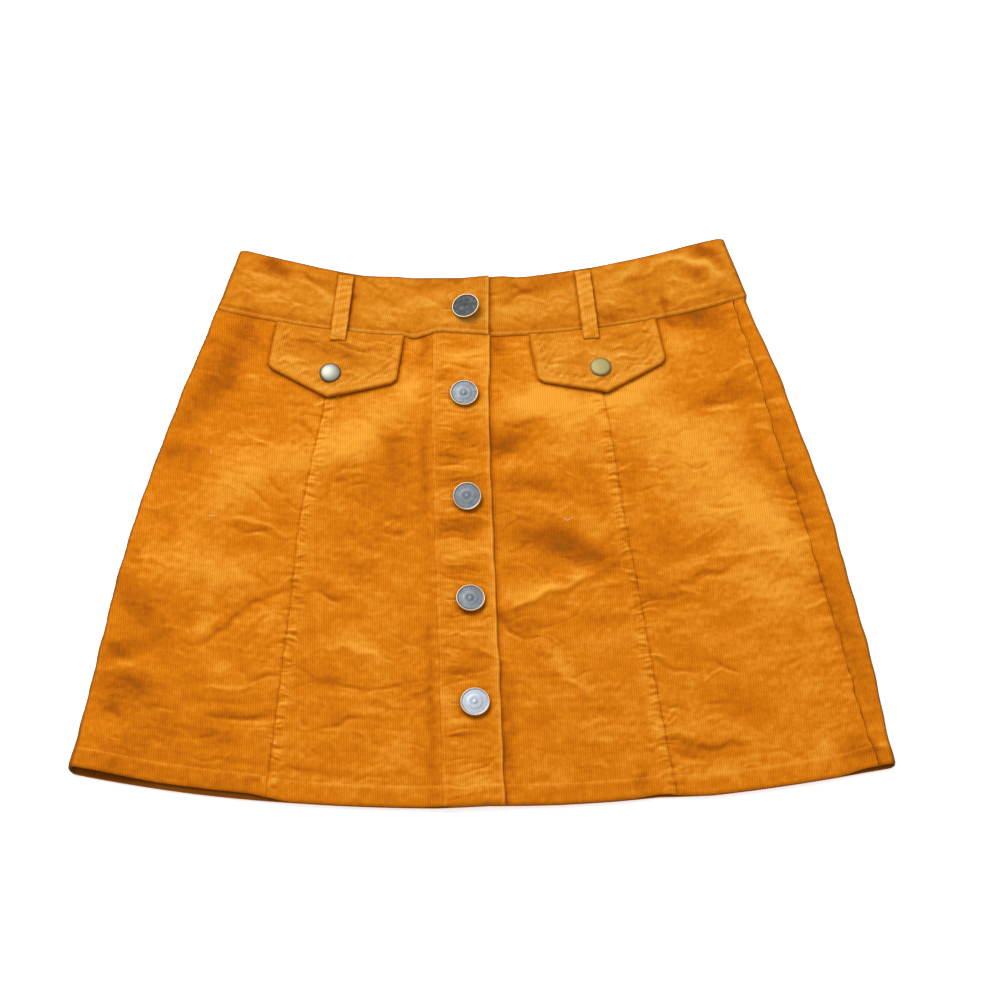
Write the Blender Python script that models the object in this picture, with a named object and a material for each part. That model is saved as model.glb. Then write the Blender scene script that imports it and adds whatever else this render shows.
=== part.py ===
"""A-line corduroy mini skirt, buttoned down the front and laid flat on its back.

The skirt is a flattened tube.  Its back lies flat at Z = 0, the front lies on it, and the
cloth turns round a soft fold at each side.  All lengths are in millimetres and are turned
into metres when a mesh is made.  X runs across the skirt, Y from the hem up to the waist
and Z up from the surface it lies on.  Left and right are as seen from above with the hem
nearest.  "Height" is the distance of a row of cloth above the hem, along the middle.
"""

from collections import namedtuple
from math import cos, exp, hypot, pi, radians, sin, sqrt

import bmesh
import bpy
from mathutils import Euler, Vector

MM = 0.001

# Cloth and clearances
CLOTH = 1.4
BAND_CLOTH = 2.4
PLACKET_CLOTH = 2.2
SEAM_GAP = 0.3
LAYER_GAP = 0.3

# Lengths along the height
WAIST_SEAM = 355.0
BAND_TOP = 403.6
PLACKET_STEP = 3.5
BAND_CORNER_RADIUS = 4.5

# Rows of cloth dip in the middle, rise to the sides, and sit a little higher on the right
SIDE_RISE = 28.0
SIDE_RISE_POWER = 2.2
TILT_AT_HEM = 4.0
TILT_PER_HEIGHT = 0.018

# Widths measured from the line of buttons
PLACKET_LEFT = 23.5
PLACKET_RIGHT = 17.5
UNDERLAP = 19.0
BAND_OVERLAP = 16.5
BAND_UNDERLAP = 18.0
BACK_RETURN = 17.0

# Heights of the front layer's outer face above the surface the skirt lies on
FRONT_BASE = 4.3
FRONT_AT_WAIST = 3.7
SIDE_TOP = 4.0
BAND_FRONT = 5.6
BAND_SIDE_TOP = 5.4
FOLD_ROUNDNESS = 0.7
SIDE_FADE = 22.0
WAIST_FADE = 24.0
PLACKET_RAMP_RISE = 1.5
PLACKET_RAMP_WIDTH = 16.0
BAND_RAMP_WIDTH = 9.0

# The hem's corners stand open, and the front hem is drawn up a little at both sides
LEFT_CORNER_LIFT = 4.4
LEFT_CORNER_REACH = 30.0
LEFT_CORNER_WIDTH = 62.0
RIGHT_CORNER_LIFT = 2.4
RIGHT_CORNER_REACH = 22.0
RIGHT_CORNER_WIDTH = 34.0
LEFT_HEM_DRAW = 3.0
RIGHT_HEM_DRAW = 2.0
HEM_DRAW_REACH = 45.0

# Mesh density
ROWS = 22
ROW_CROWDING = 1.25
FOLD_STEPS = 8
BUTTON_SEGMENTS = 28

Section = namedtuple("Section", "height half_width button_line seam_left seam_right side_inset")
SECTIONS = [
    Section(0.0, 275.5, -2.0, -143.8, 130.0, 11.0),
    Section(50.0, 267.5, -4.0, -140.0, 122.5, 15.5),
    Section(100.0, 260.5, -6.0, -135.8, 115.0, 17.5),
    Section(150.0, 251.3, -8.2, -131.6, 107.8, 19.0),
    Section(200.0, 239.3, -10.2, -128.3, 100.0, 19.5),
    Section(250.0, 224.3, -12.0, -120.5, 93.5, 17.5),
    Section(300.0, 209.5, -13.2, -112.4, 86.2, 13.5),
    Section(355.0, 191.0, -12.5, -106.0, 79.0, 9.5),
    Section(403.0, 176.0, -12.0, -100.0, 76.0, 9.0),
]

# Soft ridges (rise above 0) and troughs (below 0) in the front, along straight runs
Fold = namedtuple("Fold", "x0 h0 x1 h1 width rise")
FOLDS = [
    Fold(-214.0, 150.0, -170.0, 232.0, 26.0, 1.5),
    Fold(-170.0, 232.0, -98.0, 262.0, 24.0, 1.3),
    Fold(-98.0, 262.0, -52.0, 296.0, 20.0, 1.2),
    Fold(28.0, 290.0, 96.0, 270.0, 22.0, 1.5),
    Fold(96.0, 270.0, 176.0, 190.0, 30.0, 1.8),
    Fold(-176.0, 335.0, -208.0, 262.0, 11.0, -0.9),
    Fold(8.0, 212.0, 88.0, 168.0, 13.0, -1.0),
    Fold(-20.0, 250.0, 20.0, 258.0, 14.0, -0.5),
    Fold(-245.0, 82.0, -150.0, 152.0, 8.0, -0.7),
    Fold(96.0, 146.0, 172.0, 182.0, 8.0, -0.7),
    Fold(10.0, 142.0, 86.0, 170.0, 6.0, 0.6),
    Fold(-228.0, 92.0, -196.0, 60.0, 18.0, -0.7),
    Fold(150.0, 62.0, 190.0, 56.0, 16.0, -0.7),
    Fold(-110.0, 130.0, -70.0, 122.0, 16.0, 0.8),
]

# Flaps hang from the waist seam; x and y are the middle of the top edge in plan
Flap = namedtuple("Flap", "name x y width side_depth point_depth turn")
FLAPS = [
    Flap("flap_left", -103.4, 357.6, 93.0, 35.0, 53.5, -8.0),
    Flap("flap_right", 79.2, 359.6, 93.0, 34.5, 52.0, 10.2),
]
FLAP_CLOTH = 2.2
FLAP_ROOT_CLOTH = 1.2
FLAP_ROOT = 12.0
FLAP_CORNER_RADIUS = 5.0
FLAP_COLUMNS = 14
FLAP_ROWS = 7
FLAP_BULGE = 0.5

# Belt loops run from the top edge of the waistband to just below the waist seam
BeltLoop = namedtuple("BeltLoop", "name top_x top_y foot_x foot_y")
BELT_LOOPS = [
    BeltLoop("belt_loop_left", -99.7, 404.0, -104.7, 350.0),
    BeltLoop("belt_loop_right", 72.0, 407.8, 77.9, 351.5),
]
LOOP_WIDTH = 11.5
LOOP_CLOTH = 1.8
LOOP_ARCH = 1.0
LOOP_ROWS = 12
LOOP_COLUMNS = 2
LOOP_HEAD_Z = 6.1
LOOP_FOOT_Z = 6.9
LOOP_FOOT_SHARE = 0.16

# Buttons, top to bottom: distance of each above the hem, and how its face leans
Button = namedtuple("Button", "y lean_x lean_y standoff")
BUTTONS = [
    Button(378.0, -9.0, -13.0, 2.2),
    Button(307.0, 0.0, 0.0, 0.8),
    Button(225.5, 14.0, 0.0, 2.2),
    Button(148.5, -2.0, 3.0, 1.0),
    Button(72.7, 9.0, 0.0, 1.5),
]

# Turned profiles: radius and height of each ring, from the middle of the face to the base
Ring = namedtuple("Ring", "radius height")
BUTTON_PROFILE = [
    Ring(0.0, 2.2),
    Ring(6.6, 2.1),
    Ring(7.9, 2.2),
    Ring(8.5, 2.7),
    Ring(9.2, 2.8),
    Ring(9.8, 2.4),
    Ring(10.0, 1.7),
    Ring(9.7, 1.0),
    Ring(5.0, 0.7),
    Ring(4.0, 0.4),
    Ring(3.8, -0.3),
    Ring(0.0, -0.3),
]
Snap = namedtuple("Snap", "name x y radius dome lean_x material")
SNAPS = [
    Snap("snap_left", -109.3, 323.5, 7.7, 2.4, 0.0, "silver"),
    Snap("snap_right", 84.0, 328.4, 7.6, 1.5, -6.0, "brass"),
]
SNAP_EDGE = 0.7

Material = namedtuple("Material", "colour roughness metallic")
MATERIALS = {
    "corduroy": Material((0.66, 0.25, 0.02), 0.9, 0.0),
    "pewter": Material((0.32, 0.33, 0.34), 0.38, 1.0),
    "silver": Material((0.75, 0.74, 0.7), 0.25, 1.0),
    "brass": Material((0.48, 0.4, 0.2), 0.4, 1.0),
}


def smoothstep(start, end, value):
    """Ease from 0 at start to 1 at end."""
    t = min(max((value - start) / (end - start), 0.0), 1.0)
    return t * t * (3.0 - 2.0 * t)


def spread(start, end, steps):
    """Evenly spaced values from start to end."""
    return [start + (end - start) * i / steps for i in range(steps + 1)]


def section(column, height):
    """A column of SECTIONS at any height, on a smooth curve through its rows."""
    values = [(row.height, getattr(row, column)) for row in SECTIONS]
    last = len(values) - 2
    i = 0
    while i < last and height > values[i + 1][0]:
        i += 1

    def slope(k):
        below = values[max(k - 1, 0)]
        above = values[min(k + 1, len(values) - 1)]
        return (above[1] - below[1]) / (above[0] - below[0])

    (h0, v0), (h1, v1) = values[i], values[i + 1]
    span = h1 - h0
    t = (height - h0) / span
    rest = 1.0 - t
    return (v0 * (1.0 + 2.0 * t) * rest * rest + v1 * t * t * (3.0 - 2.0 * t)
            + span * t * rest * (slope(i) * rest - slope(i + 1) * t))


def side_tilt(height):
    """How much higher the right side lies than the left."""
    return TILT_AT_HEM + TILT_PER_HEIGHT * height


def plan_y(x, height):
    """Y of a point of a row: rows dip at the middle and rise to the sides."""
    t = x / section("half_width", height)
    return height + SIDE_RISE * abs(t) ** SIDE_RISE_POWER + 0.5 * side_tilt(height) * t


def height_at(x, y):
    """Height of the row that passes through a point of the plan."""
    height = y
    for _ in range(12):
        height += y - plan_y(x, height)
    return height


def fold_relief(x, height):
    """Sum of the soft ridges and troughs at a point of the front."""
    total = 0.0
    for fold in FOLDS:
        run_x = fold.x1 - fold.x0
        run_h = fold.h1 - fold.h0
        along = ((x - fold.x0) * run_x + (height - fold.h0) * run_h) / (run_x ** 2 + run_h ** 2)
        along = min(max(along, 0.0), 1.0)
        away = hypot(x - fold.x0 - along * run_x, height - fold.h0 - along * run_h)
        total += fold.rise * exp(-(away / fold.width) ** 2)
    return total


def corner_lift(x, height):
    """How far the open corners of the hem stand up."""
    half = section("half_width", height)
    left = LEFT_CORNER_LIFT * exp(-(height / LEFT_CORNER_REACH) ** 2)
    right = RIGHT_CORNER_LIFT * exp(-(height / RIGHT_CORNER_REACH) ** 2)
    return (left * smoothstep(LEFT_CORNER_WIDTH, 0.25 * LEFT_CORNER_WIDTH, x + half)
            + right * smoothstep(RIGHT_CORNER_WIDTH, 0.0, half - x))


def side_top(side, height):
    """Full height of the rolled side fold; side is -1 on the left and 1 on the right."""
    return SIDE_TOP + corner_lift(side * section("half_width", height), height)


def front_top(x, height):
    """Height of the front's outer face."""
    half = section("half_width", height)
    inward = smoothstep(0.0, SIDE_FADE, half - abs(x))
    below_waist = smoothstep(0.0, WAIST_FADE, WAIST_SEAM - height)
    relief = (FRONT_BASE - FRONT_AT_WAIST + fold_relief(x, height)) * below_waist
    flat = SIDE_TOP + (FRONT_AT_WAIST - SIDE_TOP + relief) * inward
    return flat + corner_lift(x, height)


def centre_left_top(x, height):
    """The left centre panel rises to meet the placket that is sewn to it."""
    edge = section("button_line", height) - PLACKET_LEFT
    return front_top(x, height) + PLACKET_RAMP_RISE * smoothstep(edge - PLACKET_RAMP_WIDTH, edge, x)


def placket_top(x, height):
    """The placket lies on the edge of the right centre panel."""
    return front_top(x, height) + LAYER_GAP + PLACKET_CLOTH


def band_top(x, height):
    """Height of the front waistband's outer face."""
    half = section("half_width", height)
    return BAND_SIDE_TOP + (BAND_FRONT - BAND_SIDE_TOP) * smoothstep(0.0, SIDE_FADE, half - abs(x))


def band_side_top(side, height):
    """Full height of the waistband's side folds, the same on both sides."""
    return band_top(side * section("half_width", height), height)


def front_draw(x, height):
    """How far the front hem is drawn up from the back hem."""
    near_hem = exp(-height / HEM_DRAW_REACH)
    left = LEFT_HEM_DRAW * smoothstep(-125.0, -160.0, x)
    right = RIGHT_HEM_DRAW * smoothstep(222.0, 242.0, x)
    return (left + right) * near_hem


# A column of a wall is a place round the flattened tube.  zone is "front", "back" or "side";
# at is X on the flat zones and the angle round the fold, from 90 on top to -90 below, on a
# side; lift raises a lap over what it lies on.
Column = namedtuple("Column", "zone at side lift")


def front(x, lift=0.0):
    return Column("front", x, 0, lift)


def back(x):
    return Column("back", x, 0, 0.0)


def turn(side, start, end, steps=FOLD_STEPS):
    """Columns round a side fold."""
    return [Column("side", angle, side, 0.0) for angle in spread(start, end, steps)]


def tube_point(height, column, depth, top=front_top, side_height=side_top, narrow=0.0):
    """A point of the flattened tube, moved depth inwards from its outer face."""
    half = section("half_width", height) - narrow
    if column.zone == "back":
        return Vector((column.at, plan_y(column.at, height), depth))
    if column.zone == "front":
        y = plan_y(column.at, height) + front_draw(column.at, height)
        return Vector((column.at, y, top(column.at, height) + column.lift - depth))
    full = side_height(column.side, height)
    reach = FOLD_ROUNDNESS * full
    angle = radians(column.at)
    x = column.side * (half - reach + (reach - depth) * cos(angle))
    z = 0.5 * full + (0.5 * full - depth) * sin(angle)
    drawn = front_draw(x, height) * 0.5 * (1.0 + sin(angle))
    return Vector((x, plan_y(x, height) + drawn, z))


def flat_end(side, height, full, narrow=0.0):
    """X where a side fold begins."""
    return side * (section("half_width", height) - narrow - FOLD_ROUNDNESS * full)


def make_material(name):
    look = MATERIALS[name]
    material = bpy.data.materials.new(name)
    material.use_nodes = True
    shader = material.node_tree.nodes["Principled BSDF"]
    shader.inputs["Base Color"].default_value = (*look.colour, 1.0)
    shader.inputs["Roughness"].default_value = look.roughness
    shader.inputs["Metallic"].default_value = look.metallic
    return material


def add_object(name, mesh_builder, material):
    """Turn a bmesh in millimetres into a named object in metres with its own material."""
    bmesh.ops.recalc_face_normals(mesh_builder, faces=mesh_builder.faces)
    bmesh.ops.scale(mesh_builder, vec=(MM, MM, MM), verts=mesh_builder.verts)
    mesh = bpy.data.meshes.new(name)
    mesh_builder.to_mesh(mesh)
    mesh_builder.free()
    mesh.shade_smooth()
    mesh.set_sharp_from_angle(angle=radians(40.0))
    mesh.materials.append(make_material(material))
    part = bpy.data.objects.new(name, mesh)
    bpy.context.scene.collection.objects.link(part)
    return part


def add_wall(name, outer, inner, material="corduroy"):
    """Close two matching grids of points, outer and inner, into one solid wall."""
    shape = bmesh.new()
    outer_verts = [[shape.verts.new(point) for point in row] for row in outer]
    inner_verts = [[shape.verts.new(point) for point in row] for row in inner]
    rows = len(outer)
    columns = len(outer[0])
    for i in range(rows - 1):
        for j in range(columns - 1):
            for grid in (outer_verts, inner_verts):
                shape.faces.new((grid[i][j], grid[i][j + 1], grid[i + 1][j + 1], grid[i + 1][j]))
    rim = [(0, j) for j in range(columns - 1)]
    rim += [(i, columns - 1) for i in range(rows - 1)]
    rim += [(rows - 1, j) for j in range(columns - 1, 0, -1)]
    rim += [(i, 0) for i in range(rows - 1, 0, -1)]
    for (i, j), (k, m) in zip(rim, rim[1:] + rim[:1]):
        shape.faces.new((outer_verts[i][j], outer_verts[k][m], inner_verts[k][m], inner_verts[i][j]))
    return add_object(name, shape, material)


def skirt_rows(top=WAIST_SEAM - SEAM_GAP):
    """Heights of a panel's rows, closer together near the hem."""
    return [top * (i / ROWS) ** ROW_CROWDING for i in range(ROWS + 1)]


def add_panel(name, columns_at, top=front_top, cloth=CLOTH, rows=None):
    """A panel of the skirt between the waist seam and the hem."""
    rows = rows or skirt_rows()
    outer = [[tube_point(h, c, 0.0, top) for c in columns_at(h)] for h in rows]
    inner = [[tube_point(h, c, cloth, top) for c in columns_at(h)] for h in rows]
    return add_wall(name, outer, inner)


def add_front_side_left():
    """Left side panel: it rolls round the left fold and ends just under the skirt."""
    def columns_at(height):
        edge = flat_end(-1, height, side_top(-1, height))
        seam = section("seam_left", height) - 0.5 * SEAM_GAP
        under = BACK_RETURN - section("half_width", height)
        columns = [front(x) for x in spread(seam, edge, 16)]
        columns += turn(-1, 90.0, -90.0)[1:]
        return columns + [back(x) for x in spread(edge, under, 2)[1:]]

    return add_panel("front_side_left", columns_at)


def add_front_centre_left():
    """Left centre panel, from the princess seam to the placket."""
    def columns_at(height):
        start = section("seam_left", height) + 0.5 * SEAM_GAP
        end = section("button_line", height) - PLACKET_LEFT - 0.5 * SEAM_GAP
        return [front(x) for x in spread(start, end, 12)]

    return add_panel("front_centre_left", columns_at, top=centre_left_top)


def add_placket():
    """Folded button placket, lapped over the edge of the right centre panel."""
    def columns_at(height):
        middle = section("button_line", height)
        start = middle - PLACKET_LEFT + 0.5 * SEAM_GAP
        return [front(x) for x in spread(start, middle + PLACKET_RIGHT, 5)]

    rows = skirt_rows(WAIST_SEAM + PLACKET_STEP - SEAM_GAP)
    return add_panel("placket", columns_at, placket_top, PLACKET_CLOTH, rows)


def add_front_centre_right():
    """Right centre panel: its edge runs on under the placket."""
    def columns_at(height):
        start = section("button_line", height) - UNDERLAP
        end = section("seam_right", height) - 0.5 * SEAM_GAP
        return [front(x) for x in spread(start, end, 13)]

    return add_panel("front_centre_right", columns_at)


def add_front_side_right():
    """Right side panel, from the princess seam to the side seam."""
    def columns_at(height):
        start = section("seam_right", height) + 0.5 * SEAM_GAP
        end = section("half_width", height) - section("side_inset", height) - 0.5 * SEAM_GAP
        return [front(x) for x in spread(start, end, 14)]

    return add_panel("front_side_right", columns_at)


def add_back_panel():
    """Back panel: it comes round the right fold to a side seam that shows on the front."""
    def columns_at(height):
        half = section("half_width", height)
        edge = flat_end(1, height, side_top(1, height))
        start = half - section("side_inset", height) + 0.5 * SEAM_GAP
        under = BACK_RETURN - half + SEAM_GAP
        columns = [front(x) for x in spread(start, edge, 2)]
        columns += turn(1, 90.0, -90.0)[1:]
        return columns + [back(x) for x in spread(edge, under, 18)[1:]]

    return add_panel("back_panel", columns_at)


def band_foot(x):
    """Height of the waistband's lower edge: it steps up over the placket."""
    middle = section("button_line", WAIST_SEAM)
    if x > middle + PLACKET_RIGHT + SEAM_GAP:
        return WAIST_SEAM
    return WAIST_SEAM + PLACKET_STEP * smoothstep(middle - PLACKET_LEFT - 6.0,
                                                  middle - PLACKET_LEFT, x)


def add_waistband():
    """Waistband: one strip all round, its left end buttoned over its right end."""
    lap = LAYER_GAP + BAND_CLOTH

    def columns_at(height, narrow):
        middle = section("button_line", height)
        full = band_side_top(1, height)
        right = flat_end(1, height, full, narrow)
        left = flat_end(-1, height, full, narrow)
        lap_start = middle - BAND_UNDERLAP - 2.0 - BAND_RAMP_WIDTH
        columns = [front(x) for x in spread(middle - BAND_UNDERLAP, middle + PLACKET_RIGHT, 3)]
        columns += [front(x) for x in spread(middle + PLACKET_RIGHT + 2.0 * SEAM_GAP, right, 12)]
        columns += turn(1, 90.0, -90.0)[1:]
        columns += [back(x) for x in spread(right, left, 16)[1:]]
        columns += turn(-1, -90.0, 90.0)[1:]
        columns += [front(x) for x in spread(left, lap_start, 11)[1:]]
        columns += [front(x, lap * smoothstep(lap_start, lap_start + BAND_RAMP_WIDTH, x))
                    for x in spread(lap_start, lap_start + BAND_RAMP_WIDTH, 3)[1:]]
        end = middle + BAND_OVERLAP
        return columns + [front(x, lap) for x in spread(lap_start + BAND_RAMP_WIDTH, end, 3)[1:]]

    def corner(height):
        into = max(height - BAND_TOP + BAND_CORNER_RADIUS, 0.0)
        return BAND_CORNER_RADIUS - sqrt(BAND_CORNER_RADIUS ** 2 - into ** 2)

    shares = [0.0, 0.3, 0.6, 0.88, 0.96, 1.0]
    grids = []
    for depth in (0.0, BAND_CLOTH):
        grid = []
        for share in shares:
            row = []
            plain = WAIST_SEAM + share * (BAND_TOP - WAIST_SEAM)
            for column in columns_at(plain, corner(plain)):
                foot = band_foot(column.at) if column.zone == "front" else WAIST_SEAM
                height = foot + share * (BAND_TOP - foot)
                row.append(tube_point(height, column, depth, band_top, band_side_top,
                                      corner(height)))
            grid.append(row)
        grids.append(grid)
    return add_wall("waistband", *grids)


def flap_depth(flap, across):
    """Depth of a flap at a place across it, from -1 to 1, with blunt lower corners."""
    depth = flap.side_depth + (flap.point_depth - flap.side_depth) * (1.0 - abs(across))
    from_side = (1.0 - abs(across)) * 0.5 * flap.width
    into = max(FLAP_CORNER_RADIUS - from_side, 0.0)
    return depth - FLAP_CORNER_RADIUS + sqrt(FLAP_CORNER_RADIUS ** 2 - 0.8 * into ** 2)


def flap_plan(flap, across, down):
    """Plan position in a flap: across from -1 to 1, down in millimetres from its top edge."""
    slope = radians(flap.turn)
    along = 0.5 * across * flap.width
    x = flap.x + along * cos(slope) + down * sin(slope)
    y = flap.y + along * sin(slope) - down * cos(slope)
    return x, y


def flap_top(flap, across, down):
    """Outer face of a flap: the panel's face moved out by the gap and the folded cloth."""
    x, y = flap_plan(flap, across, down)
    panel = front_top(x, height_at(x, y))
    depth = flap_depth(flap, across)
    cloth = FLAP_ROOT_CLOTH + (FLAP_CLOTH - FLAP_ROOT_CLOTH) * smoothstep(0.0, FLAP_ROOT, down)
    bulge = FLAP_BULGE * (1.0 - across ** 2) * sin(pi * min(down / depth, 1.0))
    return panel + LAYER_GAP + cloth + bulge


def add_flap(flap):
    """Pointed pocket flap lying on the front, its root against the waistband."""
    outer = []
    inner = []
    for j in range(FLAP_ROWS + 1):
        outer_row = []
        inner_row = []
        for across in spread(-1.0, 1.0, FLAP_COLUMNS):
            chord_x, chord_y = flap_plan(flap, across, 0.0)
            root = chord_y - plan_y(chord_x, WAIST_SEAM - SEAM_GAP)
            down = root + (flap_depth(flap, across) - root) * j / FLAP_ROWS
            x, y = flap_plan(flap, across, down)
            z = front_top(x, height_at(x, y)) + LAYER_GAP
            outer_row.append(Vector((x, y, flap_top(flap, across, down))))
            inner_row.append(Vector((x, y, z)))
        outer.append(outer_row)
        inner.append(inner_row)
    return add_wall(flap.name, outer, inner)


def add_belt_loop(loop):
    """Belt loop: a folded strip arched over the waistband, its foot on the flap."""
    direction = Vector((loop.foot_x - loop.top_x, loop.foot_y - loop.top_y)).normalized()
    across = Vector((-direction.y, direction.x))
    grids = []
    for raised in (LOOP_CLOTH, 0.0):
        grid = []
        for share in spread(0.0, 1.0, LOOP_ROWS):
            x = loop.top_x + share * (loop.foot_x - loop.top_x)
            y = loop.top_y + share * (loop.foot_y - loop.top_y)
            foot = smoothstep(1.0 - 2.0 * LOOP_FOOT_SHARE, 1.0 - LOOP_FOOT_SHARE, share)
            z = LOOP_HEAD_Z + (LOOP_FOOT_Z - LOOP_HEAD_Z) * foot
            z += LOOP_ARCH * sin(pi * min(share / (1.0 - LOOP_FOOT_SHARE), 1.0)) + raised
            grid.append([Vector((x + across.x * off, y + across.y * off, z))
                         for off in spread(-0.5 * LOOP_WIDTH, 0.5 * LOOP_WIDTH, LOOP_COLUMNS)])
        grids.append(grid)
    return add_wall(loop.name, *grids)


def turned_solid(profile):
    """Spin a profile of rings into a closed solid round Z."""
    shape = bmesh.new()
    rings = []
    for ring in profile:
        if ring.radius == 0.0:
            rings.append([shape.verts.new((0.0, 0.0, ring.height))])
            continue
        angles = [2.0 * pi * i / BUTTON_SEGMENTS for i in range(BUTTON_SEGMENTS)]
        rings.append([shape.verts.new((ring.radius * cos(a), ring.radius * sin(a), ring.height))
                      for a in angles])
    for upper, lower in zip(rings, rings[1:]):
        for i in range(BUTTON_SEGMENTS):
            k = (i + 1) % BUTTON_SEGMENTS
            corners = [upper[i % len(upper)], upper[k % len(upper)],
                       lower[k % len(lower)], lower[i % len(lower)]]
            shape.faces.new(list(dict.fromkeys(corners)))
    return shape


def add_turned(name, profile, place, lean_x, lean_y, material):
    """A turned piece set at a place in millimetres and leant, in degrees."""
    part = add_object(name, turned_solid(profile), material)
    part.location = Vector(place) * MM
    part.rotation_euler = Euler((radians(lean_x), radians(lean_y), 0.0))
    return part


def add_buttons():
    """Five shank buttons down the placket, the top one through the waistband."""
    for number, button in enumerate(BUTTONS, start=1):
        height = height_at(section("button_line", button.y), button.y)
        x = section("button_line", height)
        if height > WAIST_SEAM:
            cloth = band_top(x, height) + LAYER_GAP + BAND_CLOTH
        else:
            cloth = placket_top(x, height)
        place = (x, button.y, cloth + button.standoff)
        add_turned(f"button_{number}", BUTTON_PROFILE, place, button.lean_x, button.lean_y,
                   "pewter")


def snap_profile(snap):
    """Domed cap with a small upright edge."""
    rings = [Ring(0.0, SNAP_EDGE + snap.dome)]
    for angle in spread(18.0, 90.0, 5):
        height = SNAP_EDGE + snap.dome * cos(radians(angle))
        rings.append(Ring(snap.radius * sin(radians(angle)), height))
    return rings + [Ring(snap.radius, 0.0), Ring(0.0, 0.0)]


def add_snap(snap, flap):
    """Press-stud cap resting on a flap."""
    highest = 0.0
    for angle in spread(0.0, 2.0 * pi, 12):
        x = snap.x + snap.radius * cos(angle)
        y = snap.y + snap.radius * sin(angle)
        slope = radians(flap.turn)
        across = 2.0 * ((x - flap.x) * cos(slope) + (y - flap.y) * sin(slope)) / flap.width
        down = (x - flap.x) * sin(slope) - (y - flap.y) * cos(slope)
        highest = max(highest, flap_top(flap, across, down))
    rise = snap.radius * sin(radians(abs(snap.lean_x)))
    place = (snap.x, snap.y, highest + 2.0 * LAYER_GAP + rise)
    add_turned(snap.name, snap_profile(snap), place, snap.lean_x, 0.0, snap.material)


def centre_on_origin():
    """Move every piece so that the footprint's middle is at X = Y = 0."""
    bpy.context.view_layer.update()
    corners = [part.matrix_world @ Vector(corner)
               for part in bpy.context.scene.objects for corner in part.bound_box]
    middle_x = 0.5 * (min(c.x for c in corners) + max(c.x for c in corners))
    middle_y = 0.5 * (min(c.y for c in corners) + max(c.y for c in corners))
    for part in bpy.context.scene.objects:
        part.location.x -= middle_x
        part.location.y -= middle_y


def main():
    for leftover in list(bpy.data.objects):
        bpy.data.objects.remove(leftover, do_unlink=True)
    add_back_panel()
    add_front_side_left()
    add_front_centre_left()
    add_front_centre_right()
    add_front_side_right()
    add_placket()
    add_waistband()
    for flap in FLAPS:
        add_flap(flap)
    for loop in BELT_LOOPS:
        add_belt_loop(loop)
    add_buttons()
    for snap, flap in zip(SNAPS, FLAPS):
        add_snap(snap, flap)
    centre_on_origin()


main()
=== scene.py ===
"""Looks of the corduroy A-line mini skirt that lies flat on its back.

Every cloth part of the frame gets a thin woven shell on the same form: its columns follow the
wales of the corduroy, so each wale is real geometry, and its rows follow the garment's own
rows from the hem up to the waist.  Lengths are in millimetres in the plan of the skirt: X
across, Y from the hem up to the waist, Z up from the floor.  "Height" is the distance of a
row of cloth above the hem along the middle.  Left and right are as seen by the camera.
"""

from collections import namedtuple
from math import ceil, cos, floor, hypot, pi, radians, sin, sqrt

import bmesh
import bpy
import numpy as np
from mathutils import Euler, Matrix, Vector


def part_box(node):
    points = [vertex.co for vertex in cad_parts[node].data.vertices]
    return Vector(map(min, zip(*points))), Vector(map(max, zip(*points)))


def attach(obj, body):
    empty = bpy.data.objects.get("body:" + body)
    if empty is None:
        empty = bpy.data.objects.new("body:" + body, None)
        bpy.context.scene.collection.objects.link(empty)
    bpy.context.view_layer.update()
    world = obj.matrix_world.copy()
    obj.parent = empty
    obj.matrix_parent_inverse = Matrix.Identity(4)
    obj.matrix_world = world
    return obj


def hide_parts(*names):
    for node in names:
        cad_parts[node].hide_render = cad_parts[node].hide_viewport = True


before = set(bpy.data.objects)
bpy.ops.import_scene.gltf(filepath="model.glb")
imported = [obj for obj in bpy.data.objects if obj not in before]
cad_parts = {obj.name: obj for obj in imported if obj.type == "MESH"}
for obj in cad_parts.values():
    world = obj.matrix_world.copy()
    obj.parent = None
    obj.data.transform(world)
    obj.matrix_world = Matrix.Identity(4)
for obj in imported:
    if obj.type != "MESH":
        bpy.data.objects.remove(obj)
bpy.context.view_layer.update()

MM = 0.001

# Camera: its tilt from straight down, its distance from the floor, and where in plan it aims
CAMERA_TILT = 25.0
CAMERA_DISTANCE = 1.85
CAMERA_LENS = 94.9
SENSOR = 36.0
CAMERA_AIM = (12.0, 227.0)

# Cloth and clearances
CLOTH = 1.4
BAND_CLOTH = 2.4
PLACKET_CLOTH = 2.2
SEAM_GAP = 0.3
LAYER_GAP = 0.3
HEM_TURN = 14.0

# Corduroy: wales to the 25.4 mm, columns of mesh in each wale, and the rows' spacing
WALE = 25.4 / 16.0
WALE_COLUMNS = 2
SMALL_COLUMNS = 4
WALE_HEIGHT = 0.30
FRONT_ROW = 1.25
BACK_ROW = 3.0
PLACKET_ROW = 1.0
BAND_ROW = 1.4
INNER_COLUMN = 6.0
INNER_STEP = 5
JOIN_GAP = 0.08
PRINCESS_GAP = 0.1
WAIST_GAP = 0.08
PRINCESS_STITCH = 8.2
GRAIN_MIDDLE = 180.0

# Lengths along the height
WAIST_SEAM = 355.0
BAND_TOP = 403.6
BAND_CORNER_RADIUS = 3.2

# Rows of cloth dip in the middle, rise to the sides, and sit a little higher on the right
SIDE_RISE = 28.0
SIDE_RISE_POWER = 2.2
TILT_AT_HEM = 4.0
TILT_PER_HEIGHT = 0.018

# Widths measured from the line of buttons
PLACKET_LEFT = 23.5
PLACKET_RIGHT = 17.5
UNDERLAP = 19.0
BAND_OVERLAP = 16.5
BAND_UNDERLAP = 18.0
BACK_RETURN = 17.0

# Buttonholes: their length, and how far their middles lie left of the line of buttons
HOLE_LENGTH = 22.0
HOLE_SHIFT = 5.5

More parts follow.
